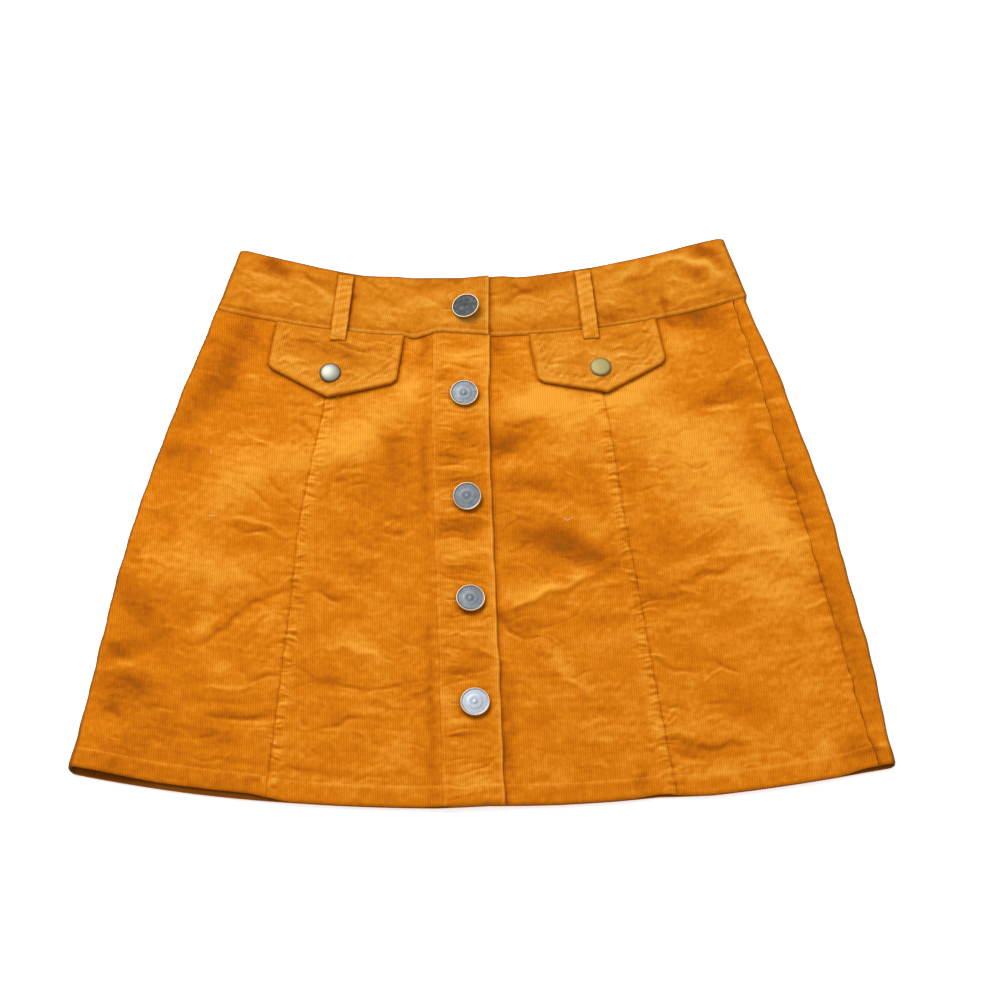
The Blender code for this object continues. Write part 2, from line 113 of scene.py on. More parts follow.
# Heights of the front layer's outer face above the floor
FRONT_BASE = 4.3
FRONT_AT_WAIST = 3.7
SIDE_TOP = 4.0
BAND_FRONT = 5.6
BAND_SIDE_TOP = 5.4
FOLD_ROUNDNESS = 0.7
SIDE_FADE = 22.0
WAIST_FADE = 24.0
PLACKET_RAMP_RISE = 2.0
PLACKET_RAMP_WIDTH = 16.0
BAND_RAMP_WIDTH = 26.0

# The hem's corners stand open, and the front hem is drawn up a little at both sides
LEFT_CORNER_LIFT = 4.4
LEFT_CORNER_REACH = 30.0
LEFT_CORNER_WIDTH = 62.0
RIGHT_CORNER_LIFT = 2.4
RIGHT_CORNER_REACH = 22.0
RIGHT_CORNER_WIDTH = 34.0
LEFT_HEM_DRAW = 3.8
RIGHT_HEM_DRAW = 2.0
SEAM_HEM_DRAW = 1.3
HEM_DRAW_REACH = 45.0

Section = namedtuple("Section", "height half_width button_line seam_left seam_right side_inset")
SECTIONS = [
    Section(0.0, 275.5, -2.0, -143.8, 130.0, 11.0),
    Section(50.0, 267.5, -4.0, -140.0, 122.5, 15.5),
    Section(100.0, 260.5, -6.0, -135.8, 115.0, 17.5),
    Section(150.0, 251.3, -8.2, -131.6, 107.8, 19.0),
    Section(200.0, 239.3, -10.2, -128.3, 100.0, 19.5),
    Section(250.0, 224.3, -12.0, -120.5, 93.5, 17.5),
    Section(300.0, 209.5, -13.2, -112.4, 86.2, 13.5),
    Section(355.0, 191.0, -12.5, -106.0, 79.0, 9.5),
    Section(403.0, 176.0, -12.0, -100.0, 76.0, 9.0),
]

# Seam allowances and the turned hem stand up under the cloth, and the hem's stitching puckers it
PRINCESS_ALLOWANCE = 0.5
SIDE_ALLOWANCE = 0.3
HEM_ALLOWANCE = 0.38
HEM_PUCKER = 0.14
HEM_PUCKER_LENGTH = 9.5

# The seams between the centre and side panels, and the way from each to the middle
PRINCESS_SEAMS = (("seam_left", 1.0), ("seam_right", -1.0))


# How far creases stray from their paths, on the body and on the placket and flaps, and the painted
# light and shade of a small crease for each millimetre of its rise: lighter on a ridge, darker in a trough
STRAY = 0.9
PLACKET_STRAY = 0.6
TONE_OF_RISE = 0.7

# How far each curve of the garment wanders from its smooth line, and over what length
Wobble = namedtuple("Wobble", "column size length wander")
WOBBLES = [
    Wobble("half_width", 0.35, 29.0, 0.3),
    Wobble("button_line", 0.35, 33.0, 0.3),
    Wobble("seam_left", 0.3, 14.0, 0.5),
    Wobble("seam_right", 0.3, 16.0, 0.4),
    Wobble("side_inset", 0.45, 18.0, 0.5),
]

# How far the rows stray in Y near the hem and near the upper edge, by x
HEM_SHIFT = [(-276, -1.3), (-200, -1.2), (-120, -0.3), (-30, 0.0), (5, 1.6), (50, 1.3), (88, 1.8),
             (118, 2.6), (136, 1.4), (154, 0.2), (200, 0.0), (255, -0.4), (276, -1.2)]
HEM_SHIFT_REACH = 50.0
BAND_SHIFT = [(-174, 2.0), (-152, 1.9), (-135, 1.3), (-112, 0.0), (-100, -0.8), (-88, -1.4),
              (-76, -0.9), (-64, 0.0), (-50, -0.8), (-36, -1.4), (-16, -1.3), (-2, -0.1),
              (9, 0.8), (15, 0.8), (24, -0.7), (34, -0.6), (42, 0.0), (56, 0.7), (72, 1.3),
              (80, 1.3), (98, 2.2), (132, 2.6), (148, 2.8), (163, 2.0), (174, 0.8)]
BAND_SHIFT_START = 362.0
BAND_SHIFT_END = 400.0

# How far each side stands out from its smooth line, by height
LEFT_OUT = [(0, 1.2), (60, 0.0), (100, -1.0), (150, -0.2), (192, 0.2), (223, 1.2), (253, 1.8),
            (284, 1.8), (315, 1.4), (355, 2.6), (403, 2.2)]
RIGHT_OUT = [(0, 1.2), (30, 1.0), (66, 1.8), (100, 0.0), (120, -0.8), (138, -1.6),
             (155, -1.2), (175, -0.2), (253, 0.0), (284, 0.5), (315, -0.6),
             (343, -1.4), (353, -1.6), (356, 0.9), (366, 1.1), (380, 0.5), (400, 0.0)]

# Lower edge of the waistband by x: it dips beside the placket and rides up over it
BAND_FOOT = [(-57, 355.0), (-52, 353.0), (-47, 353.4), (-41, 355.4), (-36, 357.2), (-31, 358.2),
             (-14, 357.0), (5.5, 355.0)]

# Height from which a panel's rows are fitted to the waistband's lower edge
FIT_START = 335.0

# Soft ridges (rise above 0) and troughs (below 0) that the solids have too
Fold = namedtuple("Fold", "x0 h0 x1 h1 width rise")
FOLDS = [
    Fold(-214.0, 150.0, -170.0, 232.0, 26.0, 1.5),
    Fold(-170.0, 232.0, -98.0, 262.0, 24.0, 1.3),
    Fold(-98.0, 262.0, -52.0, 296.0, 20.0, 1.2),
    Fold(28.0, 290.0, 96.0, 270.0, 22.0, 1.5),
    Fold(96.0, 270.0, 176.0, 190.0, 30.0, 1.8),
    Fold(-176.0, 335.0, -208.0, 262.0, 11.0, -0.9),
    Fold(8.0, 212.0, 88.0, 168.0, 13.0, -1.0),
    Fold(-20.0, 250.0, 20.0, 258.0, 14.0, -0.5),
    Fold(-245.0, 82.0, -150.0, 152.0, 8.0, -0.7),
    Fold(96.0, 146.0, 172.0, 182.0, 8.0, -0.7),
    Fold(10.0, 142.0, 86.0, 170.0, 6.0, 0.6),
    Fold(-228.0, 92.0, -196.0, 60.0, 18.0, -0.7),
    Fold(150.0, 62.0, 190.0, 56.0, 16.0, -0.7),
    Fold(-110.0, 130.0, -70.0, 122.0, 16.0, 0.8),
]

# Creases of the front, given one by one: a path of (x, height), the half width of its soft bell,
# its rise above or below the cloth, and how much lighter (above 0) or darker it is painted there,
# as the crease's painted light and shade
Crease = namedtuple("Crease", "path width rise tone")


def creases(*rows):
    """Creases from rows of path, width, rise and tone."""
    return [Crease(*row) for row in rows]


SIDE_LEFT_CREASES = creases(
    ([(-167, 352), (-173, 332), (-181, 306), (-193, 286), (-213, 266)], 9, -0.8, -0.95),
    ([(-228, 236), (-206, 243)], 8, -0.6, -0.65),
    ([(-192, 332), (-201, 300)], 9, 0.3, -0.15),
    ([(-168, 316), (-164, 292)], 5, 0.4, 0.3),
    ([(-198, 200), (-177, 218), (-144, 245)], 17, 0.3, 0.75),
    ([(-134, 281), (-125, 273), (-117, 265)], 2.4, -0.45, -0.4),
    ([(-166, 226), (-158, 220), (-149, 213)], 1.8, -0.35, -0.3),
    ([(-149, 231), (-139, 222)], 1.8, -0.4, -0.35),
    ([(-180, 198), (-159, 198), (-145, 195), (-133, 191)], 2.0, 0.5, 0.35),
    ([(-178, 193), (-159, 192), (-144, 190)], 1.8, -0.4, -0.35),
    ([(-158, 81), (-147, 86), (-137, 89)], 1.7, -0.5, -0.5),
    ([(-191, 73), (-164, 75), (-154, 80)], 1.8, 0.35, 0.3),
    ([(-187, 52), (-163, 52), (-143, 58)], 1.9, -0.5, -0.45),
    ([(-191, 36), (-178, 41)], 2.0, -0.35, -0.35),
    ([(-196, 98), (-180, 116), (-166, 131), (-143, 147), (-131, 152)], 2.2, -0.5, -0.35),
    ([(-172, 184), (-140, 176)], 7, -0.4, -0.3),
    ([(-205, 184), (-199, 168)], 10, 0.3, 0.35),
    ([(-226, 150), (-205, 160), (-170, 156), (-142, 163)], 12, 0.7, 0.6),
    ([(-258, 142), (-238, 122), (-222, 106)], 12, -0.6, -0.75),
    ([(-198, 110), (-184, 117)], 7, 0.6, 0.45),
    ([(-218, 92), (-180, 114), (-164, 132), (-136, 150)], 5, -0.5, -0.3),
    ([(-150, 126), (-142, 120)], 9, 0.5, 0.4),
    ([(-258, 85), (-240, 92)], 6, -0.8, -0.95),
    ([(-250, 77), (-236, 82)], 4, 0.5, 0.3),
    ([(-258, 62), (-240, 66), (-222, 66)], 9, -0.7, -0.95),
    ([(-256, 49), (-243, 45)], 6, -0.7, -0.9),
    ([(-258, 28), (-236, 36)], 7, 0.5, 0.45),
    ([(-182, 90), (-172, 84)], 6, 0.5, 0.4),
    ([(-200, 63), (-172, 64), (-146, 68)], 3, -0.3, -0.25),
    ([(-184, 51), (-156, 54), (-137, 59)], 5, -0.4, -0.3),
    ([(-158, 46), (-142, 52)], 4.5, 0.5, 0.35),
    ([(-202, 44), (-182, 38), (-160, 32)], 8, -0.7, -0.6),
    ([(-222, 44), (-205, 30)], 9, -0.4, -0.35),
    ([(-143, 15), (-139, 9)], 5, 0.2, 0.6),
    ([(-180, 22), (-150, 21)], 3, -0.3, -0.3),
    ([(-236, 196), (-214, 186)], 6, -0.3, -0.25),
    ([(-246, 170), (-240, 150)], 5, -0.3, -0.35),
)
CENTRE_LEFT_CREASES = creases(
    ([(-134, 246), (-110, 254), (-92, 262), (-76, 280), (-62, 298)], 15, 0.6, 0.95),
    ([(-60, 306), (-46, 318)], 8, 0.4, 0.4),
    ([(-72, 276), (-64, 268), (-66, 254)], 7, -0.7, -0.55),
    ([(-66, 262), (-58, 248), (-46, 240)], 14, -0.5, -0.5),
    ([(-86, 214), (-50, 222)], 20, -0.3, -0.3),
    ([(-70, 208), (-56, 209), (-44, 213)], 4, -0.5, -0.4),
    ([(-112, 222), (-92, 214)], 5, 0.3, 0.2),
    ([(-43, 292), (-42, 262), (-41, 216)], 4, -0.2, -0.45),
    ([(-53, 350), (-52, 338)], 5, 0.3, 0.4),
    ([(-46, 355), (-41, 344), (-47, 328)], 3.5, -0.5, -0.5),
    ([(-111, 227), (-100, 236), (-86, 241)], 1.7, -0.35, -0.3),
    ([(-74, 201), (-61, 198), (-49, 202)], 2.0, -0.5, -0.45),
    ([(-70, 205), (-58, 208)], 1.8, 0.35, 0.3),
    ([(-117, 152), (-108, 148), (-100, 145)], 2.2, -0.55, -0.5),
    ([(-107, 109), (-97, 114), (-83, 109), (-59, 104)], 2.2, 0.45, 0.4),
    ([(-72, 107), (-59, 103)], 1.6, -0.4, -0.35),
    ([(-110, 84), (-81, 82), (-56, 85)], 1.8, -0.4, -0.35),
    ([(-111, 50), (-102, 54), (-91, 60), (-79, 63)], 1.8, -0.45, -0.4),
    ([(-123, 57), (-118, 53)], 1.8, -0.4, -0.35),
    ([(-132, 25), (-114, 23)], 1.8, -0.4, -0.4),
    ([(-47, 76), (-32, 83)], 2.0, -0.35, -0.35),
    ([(-120, 157), (-104, 148), (-86, 142)], 5, -0.4, -0.25),
    ([(-112, 162), (-88, 156)], 5, 0.3, 0.15),
    ([(-100, 172), (-74, 166)], 8, -0.4, -0.3),
    ([(-116, 190), (-92, 196), (-72, 192)], 6, -0.3, -0.2),
    ([(-116, 108), (-92, 117), (-74, 106), (-69, 88)], 8, 0.6, 0.5),
    ([(-122, 93), (-108, 84), (-92, 84)], 7, -0.6, -0.45),
    ([(-108, 132), (-80, 134)], 5, -0.3, -0.25),
    ([(-40, 132), (-40, 112)], 5, -0.3, -0.5),
    ([(-44, 90), (-50, 76)], 8, -0.3, -0.25),
    ([(-62, 46), (-54, 22)], 14, 0.3, 0.3),
    ([(-108, 64), (-84, 58)], 6, -0.3, -0.25),
    ([(-118, 66), (-110, 76)], 5, 0.3, 0.15),
    ([(-112, 40), (-84, 36)], 8, -0.2, -0.2),
    ([(-60, 150), (-46, 168)], 9, 0.3, 0.15),
    ([(-36, 112), (-35, 60), (-33, 4)], 3.5, -0.2, -0.5),
    ([(-130, 22), (-100, 21), (-84, 19)], 3, -0.3, -0.3),
)
CENTRE_RIGHT_CREASES = creases(
    ([(9, 356), (11, 334)], 5, -0.5, -0.85),
    ([(22, 334), (16, 322)], 6, -0.2, -0.3),
    ([(28, 350), (24, 340)], 5, 0.3, 0.25),
    ([(8, 274), (14, 264), (28, 270)], 8, -0.9, -1.1),
    ([(26, 272), (40, 284)], 5, -0.5, -0.45),
    ([(14, 289), (46, 300), (74, 292)], 11, 0.9, 1.1),
    ([(62, 286), (64, 270)], 9, 0.4, 0.55),
    ([(12, 254), (34, 250)], 5, 0.3, 0.3),
    ([(6, 238), (38, 236), (60, 226)], 6, -0.6, -0.85),
    ([(58, 252), (74, 236), (86, 214)], 9, -0.5, -0.6),
    ([(20, 222), (60, 212), (84, 196)], 5, 0.3, 0.2),
    ([(10, 200), (36, 194), (60, 188), (80, 173), (98, 163)], 10, -0.9, -1.15),
    ([(70, 200), (90, 180)], 5, 0.3, 0.25),
    ([(14, 150), (40, 152), (64, 157)], 9, 0.7, 0.5),
    ([(24, 145), (52, 155), (88, 169)], 2.8, 0.6, 0.35),
    ([(10, 133), (32, 128), (54, 130)], 5, -0.6, -0.5),
    ([(12, 284), (23, 280), (35, 283)], 2.4, -0.5, -0.45),
    ([(15, 140), (34, 147), (51, 155)], 2.2, 0.5, 0.4),
    ([(13, 134), (22, 123), (34, 121)], 2.4, -0.5, -0.5),
    ([(71, 52), (84, 57)], 2.0, 0.35, 0.3),
    ([(51, 95), (59, 88), (68, 81)], 2.0, 0.4, 0.35),
    ([(34, 111), (46, 102)], 2.0, -0.3, -0.3),
    ([(68, 131), (100, 128)], 5, -0.5, -0.55),
    ([(40, 113), (56, 92), (70, 78)], 5, 0.7, 0.4),
    ([(72, 114), (92, 110)], 10, 0.3, 0.25),
    ([(19, 96), (18, 60), (20, 8)], 3.5, -0.2, -0.6),
    ([(36, 100), (44, 84)], 6, -0.3, -0.2),
    ([(60, 64), (84, 62)], 6, -0.3, -0.25),
    ([(26, 54), (50, 60)], 6, -0.3, -0.25),
    ([(60, 40), (90, 32)], 7, -0.2, -0.2),
    ([(40, 16), (64, 16)], 6, 0.2, 0.25),
    ([(106, 20), (108, 6)], 4, -0.2, -0.7),
)
SIDE_RIGHT_CREASES = creases(
    ([(84, 292), (104, 298), (124, 314)], 9, 0.5, 0.8),
    ([(134, 324), (150, 341)], 9, 0.4, 0.55),
    ([(100, 284), (134, 268), (160, 246), (172, 220)], 20, 0.2, 0.6),
    ([(118, 250), (126, 246)], 8, 0.3, 0.4),
    ([(140, 281), (160, 283), (180, 288), (202, 278)], 8, -0.6, -0.75),
    ([(188, 264), (196, 238), (206, 216), (218, 207)], 5, -0.7, -0.6),
    ([(178, 262), (186, 246)], 5, 0.3, 0.2),
    ([(216, 224), (222, 198), (227, 176)], 8, -0.5, -0.75),
    ([(210, 262), (214, 240)], 6, -0.4, -0.35),
    ([(136, 354), (152, 351), (166, 352)], 6, -0.4, -1.2),
    ([(170, 340), (184, 300)], 8, -0.3, -0.25),
    ([(100, 240), (104, 222)], 8, -0.3, -0.4),
    ([(108, 187), (128, 180), (148, 176)], 10, -0.4, -0.45),
    ([(150, 200), (180, 204), (200, 186), (212, 165), (232, 156)], 13, 0.4, 0.85),
    ([(180, 150), (205, 134), (222, 124)], 12, 0.3, 0.4),
    ([(104, 147), (124, 140), (150, 140)], 6, -0.6, -0.55),
    ([(116, 146), (146, 152), (182, 160)], 3.6, -0.7, -0.35),
    ([(112, 156), (140, 165), (160, 170)], 5, 0.5, 0.25),
    ([(232, 168), (238, 140), (246, 110), (255, 70), (262, 40)], 8, -0.3, -0.65),
    ([(130, 101), (164, 90)], 8, -0.4, -0.35),
    ([(184, 88), (206, 80)], 8, 0.3, 0.15),
    ([(150, 118), (190, 122)], 6, -0.3, -0.2),
    ([(154, 281), (165, 276), (183, 275)], 2.0, 0.4, 0.35),
    ([(156, 285), (169, 280), (182, 280)], 2.0, -0.4, -0.35),
    ([(105, 240), (121, 241)], 2.0, -0.35, -0.3),
    ([(155, 206), (171, 203), (187, 202)], 2.0, -0.35, -0.3),
    ([(205, 205), (219, 199)], 1.8, -0.4, -0.35),
    ([(207, 187), (218, 182)], 1.6, -0.35, -0.3),
    ([(159, 168), (182, 167), (203, 166), (220, 168)], 2.4, 0.4, 0.35),
    ([(110, 142), (126, 143), (143, 145)], 1.8, -0.4, -0.35),
    ([(117, 97), (131, 90), (148, 88)], 1.8, -0.4, -0.35),
    ([(158, 92), (167, 87), (175, 83)], 1.9, -0.45, -0.4),
    ([(127, 62), (140, 60)], 1.8, -0.35, -0.3),
    ([(129, 32), (146, 25)], 1.8, -0.35, -0.35),
    ([(147, 31), (168, 31), (180, 33)], 2.0, -0.4, -0.4),
    ([(160, 61), (184, 50), (198, 44)], 9, -0.5, -0.6),
    ([(126, 37), (146, 30), (178, 26)], 5.5, -0.6, -0.6),
    ([(122, 46), (140, 42)], 3.5, 0.4, 0.2),
    ([(150, 15), (172, 12)], 6, 0.2, 0.25),
    ([(222, 20), (234, 14)], 8, 0.3, 0.35),
    ([(242, 22), (262, 6)], 8, -0.3, -0.95),
    ([(117, 52), (120, 38)], 5, 0.2, 0.35),
    ([(216, 66), (232, 60)], 8, 0.3, 0.2),
    ([(206, 108), (224, 96)], 5, -0.3, -0.25),
)
PLACKET_CREASES = creases(
    ([(-27, 151), (-8, 149)], 9, 0, 0.3),
    ([(-30, 348), (-2, 347)], 3.5, -0.4, -0.5),
    ([(-32, 334), (2, 333)], 5, 0.4, 0.6),
    ([(-34, 321), (-16, 323)], 3, -0.3, -0.35),
    ([(-30, 298), (-4, 296)], 7, 0.4, 0.6),
    ([(-24, 270), (-8, 271)], 6, -0.5, -0.7),
    ([(-34, 258), (-12, 256)], 4, -0.4, -0.55),
    ([(-30, 248), (0, 250)], 4, 0.3, 0.1),
    ([(-34, 238), (2, 238)], 4, -0.5, -0.75),
    ([(-34, 220), (0, 220)], 6, 0.4, 0.55),
    ([(-32, 203), (4, 203)], 6.5, -0.6, -1.0),
    ([(-32, 184), (6, 184)], 7, 0.5, 0.65),
    ([(-22, 171), (2, 170)], 4, -0.3, -0.35),
    ([(-28, 152), (-22, 144)], 6, 0.3, 0.35),
    ([(-30, 120), (4, 124)], 9, 0.3, 0.2),
    ([(-12, 105), (6, 105)], 3, -0.4, -0.6),
    ([(-26, 94), (4, 96)], 4, -0.5, -0.75),
    ([(-28, 78), (-22, 70)], 6, 0.3, 0.55),
    ([(-28, 58), (-6, 58)], 4, 0.3, 0.4),
    ([(-28, 46), (0, 50)], 3.5, -0.3, -0.3),
    ([(-26, 17), (12, 17)], 7, 0.3, 0.6),
    ([(4, 200), (7, 150), (10, 80), (13, 20)], 4, 0.1, 0.3),
    ([(2, 345), (2, 260)], 3.5, 0.1, 0.3),
)
BAND_CREASES = creases(
    ([(-162, 394), (-140, 392)], 6, -0.5, -0.85),
    ([(-164, 382), (-140, 384)], 5, 0.3, 0.2),
    ([(-126, 389), (-106, 390)], 4, -0.2, -0.3),
    ([(-144, 362), (-136, 361)], 6, -0.2, -0.5),
    ([(-174, 362), (-160, 358)], 7, -0.2, -0.6),
    ([(-162, 397), (-151, 395), (-143, 393)], 3.5, -0.3, -0.4),
    ([(-182, 364), (-172, 369), (-165, 365)], 3, -0.3, -0.4),
    ([(-171, 359), (-161, 368), (-151, 374)], 3, 0.3, 0.45),
    ([(-118, 374), (-104, 376)], 10, 0.2, 0.2),
    ([(-94, 394), (-94, 382), (-95, 366)], 3.5, -0.2, -0.6),
    ([(-88, 368), (-62, 370)], 7, 0.3, 0.25),
    ([(-84, 381), (-64, 382)], 4, -0.2, -0.3),
    ([(-60, 392), (-36, 394), (-16, 394)], 5, -0.3, -0.5),
    ([(-50, 379), (-26, 385)], 5.5, 0.3, 0.4),
    ([(-50, 368), (-42, 363)], 5, -0.3, -0.4),
    ([(-36, 363), (-4, 363)], 6, 0.5, 0.75),
    ([(14, 389), (40, 393), (64, 396)], 6, -0.3, -0.6),
    ([(10, 371), (36, 374), (62, 382)], 7, 0.4, 0.45),
    ([(12, 360), (60, 360)], 5, -0.1, -0.25),
    ([(84, 374), (102, 382)], 7, 0.3, 0.3),
    ([(84, 361), (112, 365)], 6, -0.2, -0.55),
    ([(95, 388), (104, 392), (114, 397)], 3.5, 0.3, 0.5),
    ([(101, 384), (110, 387), (120, 388)], 4, -0.2, -0.35),
    ([(114, 373), (122, 368)], 5, -0.2, -0.4),
    ([(125, 395), (135, 397), (147, 394), (158, 387), (168, 378), (177, 372)], 3.2, 0.7, 0.9),
    ([(152, 400), (163, 393), (173, 384)], 5, -0.5, -1.0),
    ([(146, 386), (155, 379), (162, 374)], 3.6, -0.5, -0.8),
    ([(128, 374), (133, 357)], 4, -0.5, -0.5),
    ([(164, 361), (182, 358)], 6, -0.2, -0.35),
    ([(129, 372), (132, 363), (134, 354)], 1.3, -0.35, -1.3),
)
FLAP_CREASES = creases(
    ([(-130, 343), (-108, 338), (-82, 330)], 4.5, -0.5, -0.7),
    ([(-152, 336), (-138, 328), (-120, 318)], 6, 0.3, 0.3),
    ([(-96, 320), (-72, 317)], 6, 0.2, 0.25),
    ([(-138, 353), (-104, 350), (-68, 350)], 5, 0.2, 0.3),
    ([(44, 350), (66, 348)], 6, 0.2, 0.25),
    ([(84, 350), (104, 354), (120, 358)], 4, 0.3, 0.35),
    ([(90, 344), (120, 341)], 4, -0.4, -0.45),
    ([(94, 331), (112, 330)], 8, 0.3, 0.35),
    ([(42, 332), (58, 330)], 8, 0.3, 0.3),
    ([(-142, 338), (-120, 338)], 8, 0, -0.4),
    ([(-138, 348), (-104, 344), (-72, 339)], 8, 0, -0.18),
)
# Broad stretches painted lighter or darker, as painted sheen and shade of the nap catching the light, with
# no change of form
BROAD_SHEEN_AND_SHADE = creases(
    ([(-262, 40), (-240, 22), (-220, 10)], 30, 0, -0.45),
    ([(-215, 22), (-180, 12), (-150, 8)], 20, 0, -0.25),
    ([(-210, 268), (-204, 240), (-196, 208)], 20, 0, -0.32),
    ([(-196, 335), (-182, 310), (-170, 288)], 20, 0, -0.22),
    ([(10, 338), (60, 330), (120, 318)], 26, 0, 0.32),
    ([(46, 280), (74, 252), (96, 222)], 18, 0, 0.42),
    ([(112, 240), (140, 224), (166, 202)], 22, 0, 0.3),
    ([(172, 176), (184, 164), (192, 146)], 18, 0, 0.3),
    ([(34, 168), (48, 164), (66, 166)], 12, 0, -0.3),
    ([(-62, 338), (-52, 312), (-44, 284)], 16, 0, 0.32),
    ([(-136, 218), (-128, 224), (-122, 232)], 13, 0, 0.3),
    ([(-112, 340), (-100, 332), (-88, 322)], 20, 0, 0.2),
    ([(134, 351), (146, 348), (182, 343)], 8, 0, -0.7),
    ([(133, 354), (136, 347)], 2.2, 0, -0.9),
    ([(-172, 350), (-162, 338), (-152, 326)], 7, 0, -0.35),
    ([(-194, 138), (-176, 137)], 14, 0, 0.38),
    ([(-246, 55), (-225, 58), (-204, 62)], 14, 0, -0.35),
    ([(34, 186), (64, 182)], 13, 0, -0.35),
    ([(33, 263), (61, 259), (90, 260)], 13, 0, 0.28),
    ([(-247, 87), (-203, 98)], 12, 0, -0.2),
)
CREASES = (SIDE_LEFT_CREASES + CENTRE_LEFT_CREASES + CENTRE_RIGHT_CREASES + SIDE_RIGHT_CREASES
           + FLAP_CREASES)

# Flaps hang from the waist seam; x and y are the middle of the top edge in plan
Flap = namedtuple("Flap", "name x y width side_depth point_depth turn")
FLAPS = [
    Flap("flap_left", -103.4, 357.6, 93.0, 35.0, 53.5, -8.0),
    Flap("flap_right", 79.2, 359.6, 93.0, 34.5, 52.0, 10.2),
]
FLAP_CLOTH = 2.2
FLAP_ROOT_CLOTH = 1.2
FLAP_ROOT = 12.0
FLAP_CORNER_RADIUS = 5.0
FLAP_ROW = 1.4
FLAP_BULGE = 0.3
FLAP_STITCH = 8.2
FLAP_EDGE_LIFT = 0.6

# Belt loops run from the top edge of the waistband to just below the waist seam
BeltLoop = namedtuple("BeltLoop", "name top_x top_y foot_x foot_y")
BELT_LOOPS = [
    BeltLoop("belt_loop_left", -99.7, 404.0, -104.7, 350.0),
    BeltLoop("belt_loop_right", 72.0, 407.8, 77.9, 351.5),
]
LOOP_WIDTH = 11.5
LOOP_CLOTH = 1.8
LOOP_ARCH = 1.0
LOOP_ROW = 1.4
LOOP_HEAD_Z = 6.1
LOOP_FOOT_Z = 6.9
LOOP_FOOT_SHARE = 0.16
LOOP_FLARE = 0.03
LOOP_COLUMNS = 14
LOOP_TACKS = (2.2, 8.0, 51.0)

# Soft bells at distances inside an edge or from a line: where each is, its half width, and its
# strength, in millimetres of relief or in tone
Bell = namedtuple("Bell", "at width strength")
PRINCESS_RELIEF = [Bell(0.0, 1.0, -0.45), Bell(PRINCESS_STITCH, 0.9, -0.1)]
SIDE_SEAM_RELIEF = [Bell(0.0, 1.1, -0.5)]
HEM_RELIEF = [Bell(HEM_TURN, 1.1, -0.22)]
# Painted shade along the hem's folded edge
HEM_EDGE_TONE = [Bell(0.0, 1.6, -0.5)]
HOLE_RELIEF = [Bell(0.0, 1.7, 0.16), Bell(0.0, 0.5, -0.5)]
PLACKET_LEFT_RELIEF = [Bell(1.2, 1.3, 0.08), Bell(3.2, 0.9, -0.2)]
PLACKET_RIGHT_RELIEF = [Bell(1.0, 1.2, 0.15), Bell(2.6, 0.8, -0.14)]
PLACKET_LEFT_TONE = [Bell(1.5, 2.0, 0.1)]
PLACKET_RIGHT_TONE = [Bell(0.9, 1.0, 0.55)]
BAND_FOOT_RELIEF = [Bell(3.4, 0.8, -0.2)]
# Painted light on the waistband's stitched lower edge and painted shade in the channel above it, and
# painted shade along its pressed upper edge
BAND_FOOT_TONE = [Bell(1.4, 1.2, 0.2), Bell(3.4, 0.9, -0.3)]
BAND_TOP_TONE = [Bell(0.0, 1.2, -2.2), Bell(0.0, 5.0, -0.12)]
BAND_END_TONE = [Bell(1.0, 1.0, 0.5)]
BAND_END_LIGHT = [Bell(1.2, 1.4, 0.35)]
FLAP_EDGE_RELIEF = [Bell(FLAP_STITCH, 1.0, -0.1)]
# A flap's edge: painted shade on the rounded edge and in the stitching's channel, with a lighter rubbed
# border between; painted shadow of the waistband at its root
FLAP_EDGE_TONE = [Bell(0.0, 1.3, -0.6), Bell(3.6, 2.6, 0.22), Bell(FLAP_STITCH, 1.0, -0.06)]
FLAP_ROOT_TONE = [Bell(1.0, 3.2, -0.3)]
# Painted shade on a belt loop's rounded sides and ends, painted light just inside its sides, and painted
# shade in the grooves of its bar tacks
LOOP_SIDE_TONE = [Bell(0.0, 0.8, -0.45), Bell(1.8, 1.0, 0.2)]
LOOP_END_TONE = [Bell(0.0, 2.0, -0.2)]
TACK_RELIEF = [Bell(0.0, 0.9, -0.3), Bell(3.0, 1.8, 0.16)]
TACK_TONE = [Bell(0.0, 1.0, -0.3)]

# Painted shadow beside a piece that lies on top: its strength, and over what distance it fades
Shade = namedtuple("Shade", "strength width")
WAISTBAND_SHADE = Shade(1.0, 1.5)
PLACKET_SHADE = Shade(1.0, 2.6)
FLAP_SHADE = Shade(0.95, 1.9)
BUTTON_SHADE = Shade(0.8, 1.7)
LOOP_SHADE = Shade(0.8, 1.5)
BAND_FOOT_SHADE = Shade(0.3, 1.6)
BAND_END_SHADE = Shade(0.9, 2.6)

# Buttons, top to bottom: distance of each above the hem, how its face leans, and how much lighter or
# darker its metal is painted, as painted light that each button catches at its own lean
Button = namedtuple("Button", "y lean_x lean_y standoff tone")
BUTTONS = [
    Button(376.0, -4.0, -13.0, 2.2, -0.19),
    Button(307.0, 0.0, 0.0, 0.8, 0.14),
    Button(225.5, 11.0, 0.0, 2.2, 0.21),
    Button(148.5, -3.0, 3.0, 1.0, 0.13),
    Button(72.7, 1.0, 0.0, 1.2, 0.44),
]
BUTTON_RADIUS = 10.0

# Plan of the skirt at the frame's origin: the second button settles it
button_low, button_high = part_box("button_2")
ORIGIN = np.array([0.0, BUTTONS[1].y - 0.5 * (button_low[1] + button_high[1]) / MM, 0.0])

# Caps of the press studs: place in plan, radius, how high the dome stands, and how it leans
Snap = namedtuple("Snap", "name x y radius dome lean_x material")
SNAPS = [
    Snap("snap_left", -109.3, 323.5, 7.7, 1.7, 0.0, "silver"),
    Snap("snap_right", 84.0, 328.4, 7.6, 0.7, -6.0, "brass"),
]


# ---------------------------------------------------------------- form of the garment


